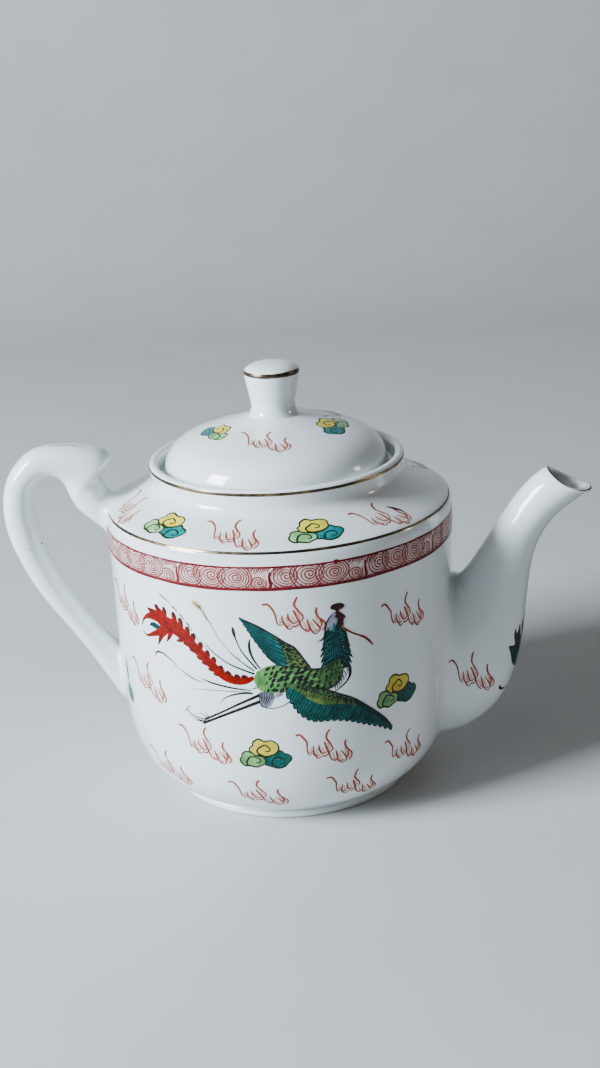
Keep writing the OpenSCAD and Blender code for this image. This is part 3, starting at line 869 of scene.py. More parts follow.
# The scrolls of one repeat: place, height, width and height of the coil, turns and level.
SCROLLS = ((5.4, 0.8, 5.2, 4.9, 4.6, 0.5), (13.6, 1.1, 6.9, 5.7, 5.6, 1.5),
           (22.8, 0.5, 6.9, 5.2, 5.7, 2.5), (31.5, -1.3, 3.0, 2.7, 3.0, 1.5))


def scroll(lines, ground, chart, x, y, wide, high, turns, level, rng):
    """One coiled wave on its own patch of ground."""
    a = np.linspace(0, 2 * math.pi, 37)
    edge = np.stack([x + wide * np.cos(a), np.clip(y + high * np.sin(a), -HALF, HALF)], 1)
    s = np.array([0.02, 0.5, 1.0])
    points = (x, min(y, HALF - 0.5)) + (edge[None] - (x, min(y, HALF - 0.5))) * s[:, None, None]
    ground.patch(chart, points, np.full(points.shape[:2], BARE + LAYER * level))
    steps = int(turns * 26)
    a = np.linspace(0, turns * 2 * math.pi, steps) + rng.uniform(0, 6)
    grow = np.linspace(0.06, 1, steps) * (1 + 0.035 * np.sin(3 * a + rng.uniform(0, 6)))
    off = 0.16 * wide * (1 - np.linspace(0, 1, steps))
    path = np.stack([x + off + wide * grow * np.cos(a), y + high * grow * np.sin(a)], 1)
    top = HALF - 0.25
    path[:, 1] = np.clip(path[:, 1], -top, top)
    lines.stroke(chart, path, 0.5 + 0.1 * np.sin(np.linspace(0, 9, steps)), level + 0.3, 0.62)


def build_border():
    rng = np.random.default_rng(BORDER_SEED)
    ground = Paint("border_ground", GROUND, nodes=("border_band",))
    lines = Paint("border_scrolls", SCROLL)
    red = Paint("border_lines", BORDER)
    chart = turned_chart(SIDE, 180, BORDER_MID)
    width = 2 * math.pi * BODY_R
    x = np.linspace(ROOT_GAP, width - ROOT_GAP, 240)
    ground.patch(chart, np.stack(np.meshgrid(x, np.linspace(-HALF, HALF, 8), indexing="ij"), -1),
                 np.full((240, 8), BARE))
    for y, breadth in ((-HALF + 0.5, 1.2), (HALF - 0.26, 0.66)):
        edge = y + 0.07 * np.sin(x / 7.3) + 0.05 * np.sin(x / 2.9 + 1)
        red.stroke(chart, np.stack([x, edge], 1)[::2], breadth + 0.13 * np.sin(x[::2] / 5.1), 3.9, 1.6)
    thick = turned_chart(SIDE, THICK_AZIMUTH, BORDER_HIGH - 0.2)
    red.stroke(thick, [(-1.2, 0.1), (-0.2, -0.2), (0.9, 0.2)], (0.9, 1.8, 0.8), 5)
    span = width / REPEATS
    start = (TICK_AZIMUTH + 180) / 360 * width - 3 * span

    def held(at, room):
        """Whether something fits between the joints of the handle."""
        return ROOT_GAP + room < at < width - ROOT_GAP - room

    for n in range(REPEATS):
        x0 = start + n * span
        for place, y, w, h, turns, level in SCROLLS:
            at = (x0 + place) % width
            if held(at, w):
                scroll(lines, ground, chart, at, y + rng.normal(0, 0.15), w, h, turns, level, rng)
        for k in range(34):
            at = (x0 + (k + rng.uniform(-0.2, 0.2)) * span / 34) % width
            low = -HALF + 0.6
            if held(at, 1):
                lines.stroke(chart, [(at, low), (at + 0.8, low + rng.uniform(0.7, 1.6))], (0.5, 0.32), 3.6)
        for k in range(11):
            at = (x0 + 28.6 + 0.72 * k) % width
            if held(at, 1):
                lines.stroke(chart, [(at, HALF - 0.4), (at - 0.7, HALF - rng.uniform(1.5, 3.0))],
                             (0.56, 0.34), 0.6)
        for k in range(6):
            at = (x0 + 0.7 + 0.75 * k) % width
            if held(at, 2):
                lines.stroke(chart, [(at + 1.2, HALF - 0.4), (at + 0.2, HALF - 2.2 + 0.2 * k),
                                     (at, HALF - 3.6)], (0.42, 0.36, 0.26), 0.4)
        at = x0 % width
        if held(at, 1):
            red.stroke(chart, [(at + 0.2, 2.6), (at - 0.1, 0.6), (at + 0.3, -2.4), (at - 0.1, -3.9)],
                       (0.45, 0.85, 1.15, 0.6), 2.4)


# ---- the phoenix ----

# Lines that its parts are built on, in millimetres from the middle of the picture.
TAIL = [(-53, 26.4), (-48, 24.6), (-44, 23.8), (-40.5, 21.8), (-37, 18.8), (-33.5, 15.8), (-30.5, 12.9),
        (-27, 9.9), (-23.5, 7.1), (-19.5, 6), (-16, 6), (-12.8, 7.6)]
TAIL_WIDTHS = (0, 0.08, 0.2, 0.32, 0.5, 0.85, 1), (3.0, 6.2, 6.0, 4.6, 3.8, 3.3, 1.6)
WING_L_TOP = [(-16.5, 31), (-10.5, 28), (-5, 24.5), (-1, 21.5), (2.5, 19), (5.5, 14.5), (8, 10.5)]
WING_L_BASE = [(-3.5, 23.6), (-2.2, 20.6), (-1.4, 17.8), (-0.7, 15), (-0.1, 12.6), (-0.6, 11.4), (-3, 11)]
WING_L_TIPS = [(-16.3, 30.9), (-14.4, 27.8), (-12.8, 25), (-11.2, 22.2), (-9.4, 19.4), (-7.8, 16.8),
               (-6, 14.2)]
WING_R_TOP = [(3.5, 4.5), (9, 2.5), (13.5, 1), (18.6, -1.6), (24, -4.6), (30.5, -10), (36.5, -16),
              (40.4, -21.4)]
WING_R_BASE = [(-0.6, 3.4), (1, 3.2), (3, 2.6), (5, 0.8), (8.5, -1.6), (12.5, -3.4), (16.5, -3.8), (21, -4.6),
               (26, -7.2), (30.5, -11), (36, -16.4), (39.8, -21)]
WING_R_TIPS = [(-1.2, 1.5), (0.4, -1), (1.4, -3), (2.6, -5), (4, -7), (5.8, -8.6), (8, -9.9), (11, -10.6),
               (14.2, -10.6), (18, -11.2), (22.5, -12.4), (26, -14), (30, -15.8), (34, -17.6), (37.5, -19.8),
               (40.2, -21.8)]
TAIL_UP = [(-53, 30.4), (-49, 30.4), (-44.5, 29.4), (-41.5, 27.8), (-38.5, 25), (-36, 22.8), (-33, 19.9),
           (-30.5, 17), (-28, 14.7), (-25.5, 11.6), (-23, 9.6), (-20, 8.4), (-17.5, 7.8)]
TAIL_DOWN = [(-48.5, 17.2), (-43.5, 18.6), (-40.5, 18.4), (-38, 16.4), (-35, 13.9), (-33, 12), (-30.5, 9.6),
             (-28.5, 8)]
BODY_TOP = [(-12.8, 7.2), (-11.6, 9.8), (-9, 11.6), (-5.5, 12.5), (-1, 12), (4, 11), (8, 10), (12, 9.6),
            (15.5, 10.4), (18.8, 12.6)]
BODY_LOW = [(-12.8, 6.2), (-11.6, 3.4), (-9.5, 1.9), (-6.5, 1.3), (-3, 1.5), (2, 2), (6, 2), (12, 1),
            (16, 1.8), (19.2, 4.8), (20.4, 9.4)]
TAIL_TUFTS = [
    ((4.8, 3.4, 1.9, 1.0, 0.3), [(-49, 26), (-55, 26), (-58.5, 25), (-61, 23.2), (-62.5, 20.4)]),
    ((4, 2.8, 1.0), [(-51, 26.4), (-55, 27.6), (-57.8, 28.4)]),
    ((4, 2.8, 1.0), [(-49, 26.4), (-51.6, 29), (-53.4, 31)]),
    ((4, 3, 1.9, 1.1, 0.7, 0.25), [(-47, 23), (-51.6, 20.4), (-55.6, 18.6), (-58.8, 17.2), (-60.8, 17.2),
                                   (-62.2, 18.2)]),
    ((3.6, 2.8, 0.3), [(-47.4, 23), (-50.8, 19.6), (-53.2, 14.8)])]
CLAWS = [[(-33, -11.6), (-37.5, -11.1), (-41, -9.2), (-40.4, -7.6), (-39, -7.4)],
         [(-31.6, -11), (-34.4, -9.6), (-35.6, -8.6)], [(-31, -10.6), (-32.6, -9.2), (-33.4, -8)],
         [(-33, -12.2), (-37, -12.2), (-39.8, -11)], [(-34.4, -13), (-36, -12.6), (-37.4, -12.8)],
         [(-41, -9.2), (-42.2, -9.4)]]
# Rows of feathers down the neck: height and how far they reach to the side.
NECK_ROWS = ((24.6, 3.0), (22.8, 4.4), (20.4, 5.2), (18.2, 5.6), (15.9, 5.9), (13.6, 6.1), (11.4, 6.2),
             (9.4, 5.8))
NECK_LINE = [(18.4, 8), (18, 11), (17.5, 15), (17.8, 19.5), (17.5, 24), (17.3, 27.8)]


# Even rows of strokes: paint, level, widths, how many, the first and the last.
BIRD_HATCHING = [
    ("gold", 1, (0.1, 0.22, 0.12), 6, [(-34.6, 35.6), (-33, 34.4), (-31, 32.4)],
     [(-32.1, 34.6), (-31.75, 33.9), (-31, 32.4)]),
    ("teal", 3, (0.08, 0.3, 0.1), 6, [(16.76, 22.6), (15.82, 17.5), (15.6, 12.5)],
     [(18.66, 22.6), (19.62, 17.5), (20.35, 12.5)]),
    ("ink", 4, (0.1, 0.32, 0.2), 6, [(17.06, 22), (16.22, 17), (16, 11.6)],
     [(18.96, 22), (20.02, 17), (20.75, 11.6)]),
    ("ink", 11, (0.12, 0.3, 0.2), 18, [(4.4, 2.4), (4.1, 0.8), (4.5, -0.5)],
     [(20.55, -3.72), (20.76, -5.32), (21.5, -5.77)])]

# Single strokes: paint, level, widths and points, from the plumes over the legs to the head.
BIRD_LINES = [
    ("ink", 0, (0.2, 0.5, 0.35, 0.2), [(-50.5, 36.2), (-49.5, 35.4), (-46, 33.7), (-45.2, 33)]),
    ("faded", 0, (0.25, 0.4, 0.2), [(-33.4, 20), (-31.4, 18.6), (-29.6, 17)]),
    ("ink", 1, (0.25, 0.45, 0.5, 0.6, 0.8), [(-31, 19.8), (-28.5, 17.2), (-24.5, 14.2), (-20.5, 12),
     (-12.5, 9)]),
    ("faded", 0, (1.6, 2.8, 1.6, 0.9, 0.7, 0.6, 0.5, 0.42, 0.3), [(-35, 36.2), (-32.8, 34.4), (-31, 32.6),
     (-29.8, 30.4), (-27.6, 27), (-25.4, 22.6), (-22.5, 19), (-20, 16.4), (-17.5, 14.5)]),
    ("gold", 1, (0.2, 0.45, 0.15), [(-31.4, 33), (-29.8, 30.4), (-28.4, 28.4)]),
    ("ink", 1, (0.15, 0.42, 0.6), [(-21.4, 17.2), (-17.5, 14), (-12.5, 10.2)]),
    ("ink", 1, (0.7, 1.25, 0.5, 0.5, 0.75), [(-19.6, 27.2), (-19.3, 25.2), (-18.6, 22.5), (-16.5, 17.5),
     (-11.5, 11)]),
    ("ink", 1, (0.3, 0.95, 1.0, 0.7, 0.55), [(-13.4, 22.8), (-13.8, 20.5), (-13.5, 17.5), (-12.2, 14.2),
     (-10.2, 11.2)]),
    ("ink", 1, (0.35, 0.75, 0.7, 0.6, 0.45, 0.25), [(-55.6, 9.6), (-54.4, 11.6), (-51.6, 11.9),
     (-48.6, 10.9), (-46, 9.6), (-43, 6.8)]),
    ("gold", 0, (0.3, 0.55, 0.5, 0.25), [(-42.6, 7.6), (-39.6, 5.6), (-36, 4.3), (-33, 3.6)]),
    ("ink", 1, (0.3, 0.75, 0.7, 0.4), [(-33.6, 5.4), (-29.5, 4.2), (-21, 2.9), (-14, 2.4)]),
    ("ink", 1, (0.1, 0.32, 0.22), [(-38, 0.4), (-29, 1.2), (-14.5, 1.8)]),
    ("ink", 1, (0.15, 0.4, 0.65, 0.8, 0.7), [(-26.6, -4), (-24.6, -1.6), (-21, 0.2), (-17, 1.1),
     (-13.6, 1.2)]),
    ("deep", 0, (0.6, 2.0, 2.4, 1.0), [(-57.4, 21.8), (-55.6, 22.4), (-53.4, 22.2), (-50.6, 22)]),
    ("ink", 4, (0.2, 0.35, 0.3), [(-3.6, 23), (-1.9, 19.6), (-1, 16), (-0.2, 12.4)]),
    ("lilac", 0, (0.6, 1.6, 0.8), [(-6, -0.6), (-4.4, 0.3), (-2.6, 1)]),
    ("ink", 2, (0.6, 0.45, 0.35, 0.4, 0.2), [(-11, -3.6), (-8, -4.8), (-4, -4.4), (-0.4, -2.6), (1, -1)]),
    ("ink", 2, (1.2, 0.95, 0.8, 0.95), [(-11, 0.6), (-19, -3.4), (-26, -7.4), (-33.4, -11.6)]),
    ("ink", 2, (1.3, 1.15, 1.0, 1.1), [(-11, -2), (-19, -5.6), (-26, -9), (-34.4, -13.4)]),
    ("ink", 2, (0.7, 1.1, 1.1, 0.7, 0.6, 0.3), [(21, 12), (22.6, 9.2), (23, 6), (21.8, 3.4), (19.8, 1.6),
     (16.6, -0.4)]),
    ("teal", 5, (0.3, 1.0, 0.6), [(17.4, 27), (17.6, 25.4), (17.2, 23.4)]),
    ("ink", 6, (0.35, 0.65, 0.75, 0.75, 0.6, 0.2), [(16.8, 30.2), (15, 27.8), (14.2, 24.8), (13.8, 22.4),
     (12.8, 21), (11, 20.5)]),
    ("ink", 7, (0.3, 0.9, 0.3), [(16.8, 32.8), (19, 33.2), (21, 33)]),
    ("dark_red", 6, (1.5, 1.3), [(19, 32.2), (18.9, 30.6)]),
    ("dark_red", 6, (1.2, 1.9, 2.0, 2.0, 0.5), [(18.4, 31), (19.8, 29.8), (20.5, 28.3), (19.9, 26.6),
     (19.7, 24.8)]),
    ("ink", 7, (0.5, 0.9, 0.4), [(18.8, 29.6), (19.4, 27.8), (19.2, 25.6)]),
    ("ink", 7, (0.5, 0.8, 0.2), [(19.8, 30.2), (21.6, 28.9), (21.8, 27.9)]),
    ("ink", 7, (0.5, 0.8, 0.3), [(20.6, 27.2), (21, 26), (20.4, 25.4)]),
    ("iron", 3, (0.6, 0.85, 0.7, 0.75, 0.95, 0.95, 0.4), [(20.2, 25.4), (22.4, 23.2), (24.8, 21.5),
     (27.2, 20.2), (29.2, 19), (31.2, 17.2), (32.8, 14.9)]),
    ("dark_red", 5, (0.3, 0.25, 0.4, 0.3), [(21, 24.4), (25.6, 21), (29.2, 18.9), (32.6, 15.2)])]


def feathers(chart, fill, line, streak, base, tips, count, level, overhang=0.55):
    """Feathers side by side from a base line to a line of rounded tips."""
    base, tips = resampled(base, count + 1), resampled(tips, count + 1)
    for k in range(count):
        b0, b1, t0, t1 = base[k], base[k + 1], tips[k], tips[k + 1]
        wide = np.linalg.norm(t1 - t0)
        way = unit((t0 + t1) / 2 - (b0 + b1) / 2)
        round_end = []
        for a in np.linspace(0, math.pi, 7):
            c = math.cos(a)
            p = (t0 + t1) / 2 + (t0 - t1) / 2 * c * abs(c) ** 0.4 + way * overhang * wide * math.sin(a)
            round_end.append(p)
        left = [b0, (b0 + t0) / 2, t0] + round_end[1:3]
        right = [b1, (b1 + t1) / 2, t1] + round_end[4:6][::-1]
        fill.between(chart, left, right, level, 9, 4)
        streak.stroke(chart, [(b0 + b1) / 2 * 0.8 + (t0 + t1) * 0.1, (t0 + t1) / 2],
                      (0.1 * wide, 0.24 * wide), level + 1)
        line.stroke(chart, [b0, (b0 + t0) / 2] + round_end + [t1 * 0.8 + b1 * 0.2],
                    (0.46, 0.4, 0.36, 0.4, 0.34, 0.3), level + 2, 0.6)


def marks(chart, paint, a, b, rows, columns, size, level, rng, lean=0.0, keep=None):
    """Small scale marks in staggered rows between two lines."""
    a, b = resampled(a, columns * 2 + 1), resampled(b, columns * 2 + 1)
    for row in range(rows):
        v = (row + 0.6) / (rows + 0.2)
        for column in range(columns):
            k = column * 2 + 1 + row % 2
            if k >= len(a) - 1:
                continue
            p = a[k] * (1 - v) + b[k] * v + rng.normal(0, 0.14 * size, 2)
            run = unit(a[k + 1] - a[k - 1] + b[k + 1] - b[k - 1])
            side = np.array([-run[1], run[0]])
            tilt = lean + rng.normal(0, 0.3)
            way = run * math.cos(tilt) + side * math.sin(tilt)
            scale = size * rng.uniform(0.75, 1.15) * (1 if keep is None else keep(k / len(a), v))
            if scale > 0.15:
                paint.stroke(chart, [p - way * scale * 0.62, p + side * scale * 0.1, p + way * scale * 0.62],
                             np.array([0.25, 0.72, 0.2]) * scale, level, 0.5)


def bird_plumes(chart, p):
    """Dashes of the loose plumes over the tail."""
    for a, b in (((-44.6, 32.4), (-41.8, 30.4)), ((-41.2, 29.8), (-38.8, 27.5)),
                 ((-38.3, 27), (-36, 23.9)), ((-35.6, 23.2), (-33.6, 20.6))):
        a = np.array(a)
        p["gold"].stroke(chart, [a, b], (0.5, 0.8, 0.4))
        p["ink"].stroke(chart, [a + 0.3, (a + b) / 2 + 0.25], (0.15, 0.32, 0.1), 1)

def bird_tail(chart, p, rng):
    """The red tail, with fingers and dark rims along both sides and tufts at its end."""
    red, dark = p["red"], p["dark_red"]
    count = 60
    body = resampled(TAIL, count)
    red.stroke(chart, body, np.interp(np.linspace(0, 1, count), *TAIL_WIDTHS), 0, 1.2)
    run = unit(np.gradient(body, axis=0))
    for side, tips, width, along_tail, rim in ((1, TAIL_UP, (1.6, 2.4, 1.3), 0.85, (0.3, 1.2, 1.1)),
                                               (-1, TAIL_DOWN, (1.4, 1.9, 0.3), 0.4, (0.1, 0.6, 0.4))):
        for tip in np.array(tips):
            j = int(np.argmin(np.linalg.norm(body - tip, axis=1)))
            out = np.array([-run[j, 1], run[j, 0]]) * side
            root = body[min(count - 1, j + 3)]
            tip = tip + out * (np.interp(tip[0], (-48, -20), (0.7, -0.2)) if side > 0 else -0.1)
            mid = (root + tip) / 2 + out * 0.4
            edge = run[j] * along_tail
            red.stroke(chart, [root, mid, tip], width, 1, 0.5)
            dark.stroke(chart, [mid + edge + out * 0.3, (mid + tip) / 2 + edge * 0.7 + out * 0.2, tip],
                        rim, 4, 0.5)
            dark.stroke(chart, [root - out * 0.3, mid - out * 0.6], (0.08, 0.3), 4, 0.5)
    for width, line in TAIL_TUFTS:
        red.stroke(chart, line, width, 1, 0.5)
        a, b = np.array(line[-2:])
        dark.stroke(chart, [a + (0, 0.3), (a + b) / 2 + (0, 0.2), b], (0.2, 0.6, 0.4), 4)
    for a, b in (((-53, 27.6), (-43, 24)), ((-52, 25), (-38, 19.8)), ((-37, 20), (-28, 11)),
                 ((-50, 23.6), (-41, 21.4)), ((-28, 11), (-18, 6))):
        dark.stroke(chart, [a, (np.array(a) + b) / 2 + rng.normal(0, 0.3, 2), b], (0.1, 0.3, 0.1), 3)


def far_wing(chart, p, rng):
    """The raised wing behind the neck."""
    ink, teal = p["ink"], p["teal"]
    teal.between(chart, WING_L_TOP[:4], [WING_L_TIPS[0], (-10.8, 26), (-5.6, 21.5), (-1.4, 17.6)], 1, 10, 5)
    feathers(chart, teal, ink, p["deep"], WING_L_BASE, WING_L_TIPS, 8, 1, 0.5)
    p["olive"].between(chart, [(-4.6, 24), (-1, 21.5), (2.5, 19), (5.5, 14.5), (8.6, 10)],
                       [(-3, 21.4), (-1.5, 18.4), (-0.8, 15.6), (0, 12.5), (1, 10.6)], 2, 12, 5)
    marks(chart, ink, [(-3.4, 23.2), (-1, 21.2), (2.3, 18.6), (5.3, 14.1), (8.2, 10.4)],
          [(-2.6, 21.6), (-1.2, 18.8), (-0.5, 16), (0.4, 12.5), (1.4, 11)], 4, 8, 1.25, 3, rng, 0.9)
    ink.stroke(chart, WING_L_TOP, (0.35, 0.7, 0.6, 0.6, 0.75, 0.7, 0.6), 4)


def bird_legs(chart, p):
    """The thigh with its short feathers, and the claws."""
    p["lilac"].fill(chart, [(-10.8, 1.6), (-11.4, -1), (-11.2, -3.4), (-8.4, -4.4), (-6.4, -3), (-5.6, 0.2),
                            (-6.8, 2)], 0)
    for k in range(9):
        x = -11 + 0.62 * k
        p["ink"].stroke(chart, [(x, 1.8), (x - 0.2, -1), (x + 0.4, -3.6 + 0.05 * k * k)],
                        (0.2, 0.42, 0.25), 2)
    for line in CLAWS:
        p["ink"].stroke(chart, line, (0.55, 0.4, 0.22), 2)


def bird_neck(chart, p, rng):
    """The breast's edge, the ruffled neck and the head."""
    ink, teal, deep = p["ink"], p["teal"], p["deep"]
    for k in range(7):
        a = np.array([16.8 + 0.85 * k, 0.2 + 0.4 * k + 0.1 * k * k])
        ink.stroke(chart, [a, a + (0.2, 1.4), a + (-0.6, 3.0)], (0.12, 0.42, 0.15), 3)
    deep.stroke(chart, NECK_LINE, (8.0, 7.0, 6.0, 5.0, 4.2, 3.2), 1, 1.2)
    for y, reach in NECK_ROWS:
        for side, lift, drop in ((-1, 0.0, -1.7), (1, 1.0, -2.6)):
            tip = np.array((17.8 + side * (reach + rng.uniform(-0.4, 0.4)), y + drop + lift))
            start = np.array((17.8 + side * 0.5, y + 2.6 + lift))
            bend = np.array((17.8 + side * reach * 0.6, y + 0.8 + lift))
            deep.stroke(chart, [start, bend, tip], (0.6, 1.8, 0.35), 2, 0.5)
            ink.stroke(chart, [start + (side, -1.6), bend + (0, -0.7), tip], (0.25, 0.6, 0.4), 3, 0.5)
            teal.stroke(chart, [start + (side * 0.2, -0.2), bend + (-side * 0.5, 0.25), (bend + tip) / 2],
                        (0.15, 0.32, 0.1), 3, 0.5)
    p["lilac"].fill(chart, [(15.6, 24.4), (15.4, 27), (16.2, 29.8), (17.8, 31.2), (19, 29.8), (18.6, 26.6),
                            (17, 24.4)], 4)
    p["dark_red"].fill(chart, [(19.1 + 2.7 * math.cos(a), 33 + 1.35 * math.sin(a))
                               for a in np.linspace(0.2, 6, 12)], 6)
    ink.fill(chart, [(18, 29.4), (18.6, 29.9), (19.2, 29.3), (18.5, 28.8)], 7)


def bird_body(chart, p, rng):
    """The green body, shaded along its lower side and covered with scale marks."""
    ink, deep = p["ink"], p["deep"]
    p["green"].between(chart, BODY_TOP, BODY_LOW, 3, 24, 8)
    top, low = resampled(BODY_TOP, 40), resampled(BODY_LOW, 40)
    for k in range(15):
        v = k / 14
        first = int(23 + 7 * abs(math.sin(2.4 * k)) - 6 * v * (1 - v))
        line = top[first:39] * (1 - v) + low[first:39] * v
        p["moss"].stroke(chart, line[::3], (0.2, 1.0, 1.0, 0.8), 4)

    def fade(u, v):
        return np.interp(u, (0, 0.13, 0.2, 0.5, 0.72, 1), (0, 0, 1.0, 1.25, 0.72, 0.55)) * (0.9 + 0.2 * v)
    marks(chart, ink, BODY_TOP, BODY_LOW, 6, 16, 1.7, 6, rng, 0.6, fade)
    for k in range(16):
        x = -11.6 + 1.15 * k
        y = np.interp(x, *np.transpose(BODY_LOW))
        deep.stroke(chart, [(x + 0.5, y + 1.3), (x - 0.2, y - 0.7)], (0.25, 0.12), 5)
    for k in range(12):
        a = 0.3 + 0.2 * k
        q = np.array([-11.2 + 1.4 * math.sin(a * 1.7), 6.6 + 3.4 * math.cos(a * 1.3)])
        deep.stroke(chart, [q, q + (-1.3, 0.2 * math.cos(a))], (0.12, 0.26), 5)
    ink.stroke(chart, BODY_TOP[3:], (0.2, 0.45, 0.55, 0.5, 0.3), 6)
    ink.stroke(chart, BODY_LOW[4:], (0.15, 0.3, 0.45, 0.4), 6)


def near_wing(chart, p, rng):
    """The spread wing in front, with three bands of colour."""
    ink = p["ink"]
    # The feathers take the darker teal copy: painted shade on the lower wing.
    feathers(chart, p["low_teal"], ink, p["deep"], WING_R_BASE, WING_R_TIPS, 20, 7, 0.6)
    p["moss"].between(chart, [(-1.2, 4.8), (3.5, 4.5), (9, 2.5), (13.5, 1), (18.6, -1.6), (24, -4.6),
                              (27.5, -7.4)],
                      [(-0.4, 3.6), (3, 1.6), (8, -2.8), (12.5, -4.8), (16.5, -5.3), (21, -6.2),
                       (25.5, -8.4)], 9, 16, 5)
    p["olive"].between(chart, [(3.6, 3.4), (7, 1.2), (11, -0.6), (15.6, -2.4), (20, -4)],
                       [(3.9, 0.8), (8, -2.9), (12, -4.8), (16.2, -5.2), (20.4, -5.9)], 10, 12, 5)
    marks(chart, ink, [(2, 4.4), (9, 2.3), (15, 0.3), (20, -2.7), (25, -6)],
          [(2, 3.2), (8, 0.6), (14, -2.2), (18.6, -4.2), (23.4, -6)], 3, 13, 1.15, 11, rng, 1.2)
    p["deep"].between(chart, WING_R_TOP[4:], [(24.6, -7.2), (30, -12), (35.4, -16.6), (40, -21.3)], 10, 14, 4)
    for k in range(9):
        t = 3.2 + 0.4 * k
        a, b = along(WING_R_TOP, t), along(WING_R_TIPS, min(14.4, t * 1.9 + 1.6))
        ink.stroke(chart, [a, (a * 0.6 + b * 0.4), b], (0.15, 0.3, 0.15), 11)
    ink.stroke(chart, WING_R_TOP, (0.3, 0.5, 0.6, 0.6, 0.7, 0.7, 1.0, 0.6), 12)


def phoenix(chart, p, rng):
    """The flying bird, drawn from the tail to the near wing."""
    for name, level, width, line in BIRD_LINES:
        p[name].stroke(chart, line, width, level)
    for name, level, width, count, first, last in BIRD_HATCHING:
        p[name].hatch(chart, first, last, count, width, level)
    bird_plumes(chart, p)
    bird_tail(chart, p, rng)
    far_wing(chart, p, rng)
    bird_legs(chart, p)
    bird_neck(chart, p, rng)
    bird_body(chart, p, rng)
    near_wing(chart, p, rng)


# ---- what is painted where ----

# Keys beginning low_ hold the darker paint copies, painted shade low on the body.
MOTIF_PAINTS = {
    "wash": ("wash_", WASH), "iron": ("flame_lines_", IRON),
    "teal": ("cloud_teal_", SKY_TEAL), "low_teal": ("shaded_cloud_teal_", SHADED_TEAL),
    "green": ("cloud_green_", PALE_GREEN), "low_green": ("shaded_cloud_green_", SHADED_GREEN),
    "yellow": ("cloud_yellow_", YELLOW), "low_yellow": ("shaded_cloud_yellow_", SHADED_YELLOW),
    "outline": ("cloud_lines_", OUTLINE)}
BIRD_PAINTS = {
    "ink": ("bird_ink", INK), "red": ("bird_red", RED), "dark_red": ("bird_dark_red", DARK_RED),
    "teal": ("bird_teal", TEAL), "deep": ("bird_deep_teal", DEEP_TEAL), "green": ("bird_green", GREEN),
    "olive": ("bird_yellow_green", OLIVE), "lilac": ("bird_lilac", LILAC), "moss": ("bird_moss", MOSS),
    "faded": ("bird_faded_gold", FADED), "iron": ("bird_iron_red", IRON),
    "low_teal": ("bird_shaded_teal", SHADED_TEAL)}
# Azimuth and height of what is painted on the near side.
BIRD_AT = (-90, 62)
# Motifs: what, where, between which spins, size, and shade and stretch. The shade low_ takes the darker paint
# copies, painted shade for motifs low on the body.
MOTIFS = (
    (flame, ((-87.2, 93.9), (-49.3, 86.4), (-119.6, 40.2), (-79.6, 39.8), (-48.8, 29.6), (-103, 19.3),
             (-69.4, 19.9), (-142.4, 60.6), (-153.5, 88.8), (-139.4, 23.4)), (-4, 4), 0.92, ()),
    (cloud, ((-99.2, 37.6), (-53.4, 55.4)), (-4, 4), 1, ("low_", (1, 1.12))),
    (cloud, ((-134.4, 121.7), (-78.2, 121.7)), (-3, 5), 1.05, ()),
    (flame, ((-162.6, 122), (-106.9, 122), (-51, 122)), (-4, 4), 0.92, ()))
# On the lid: what, azimuth, height, size and whether it is mirrored.
LID_MOTIFS = ((cloud, -158.7, 147, 0.9, -1), (cloud, -19.6, 147, 1.04, -1), (cloud, 81, 147, 0.95, -1),
              (flame, -98.6, 146.8, 0.88, 1), (flame, 31, 146.8, 0.88, 1), (flame, 131, 146.8, 0.88, 1))
MOTIF_SEED = 3
SHOULDER_DAB_AT = (-43, 121.4)
SPOUT_FLAME_AT = (75.6, 14.0, 48.6)
SPOUT_LEAF_AT = (95.0, 0, 52.0)
HANDLE_TOP_AT = (-80, 0, 190)
LEAF_DROP_AT = (21.2, 51.6)
HANDLE_SPOTS = ((-94.4, -8, 103.9, 1.5), (-72.4, -8, 117.1, 0.6))


def facing(obj, target, azimuth, spin=0.0, size=1.0):
    """A drawing on a mesh seen level from an azimuth, centred on a point."""
    a = math.radians(azimuth)
    out = np.array([math.cos(a), math.sin(a), 0])
    return cast_chart(obj, target + CAST_FROM * out, (-out[1], out[0], 0), (0, 0, 1), spin, size)


LEAF = [(0, -7.4), (3.6, -7.2), (8, -4), (10.2, 1.4), (11.2, 4.8), (9, 3.4), (8.6, 7.4), (7.4, 10),
        (5.6, 6.6), (3, 9.8), (0, 11.4)]


def leaf_spray(chart, deep, dark, ink):
    """A spray of leaves with red tips, mirrored about the front of the spout."""
    fine = np.linspace(0.02, 1, 14)
    for side in (-1, 1):
        mirror = np.array((side, 1))
        deep.fill(chart, mirror * LEAF, 2 if side < 0 else 3, fine)
        dark.hatch(chart, mirror * [(-0.4, 9.2), (0.5, 13.6), (0.8, 16.6)],
                   mirror * [(8, 4), (8.9, 8.4), (9.2, 11.4)], 5, (0.9, 1.35, 0.3), 4, 0.5)
        ink.hatch(chart, mirror * [(0.3, -4), (1.6, 0), (1.8, 4)],
                  mirror * [(0.3, 0), (6.8, 2.4), (9.4, 4)], 5, (0.3, 0.4, 0.15), 5, 0.5)
        dark.stroke(chart, mirror * [(10.4, -12.6), (9.4, -14.4), (7.4, -15.4), (5, -15)],
                    (0.3, 0.9, 0.8, 0.3), 2, 0.5)


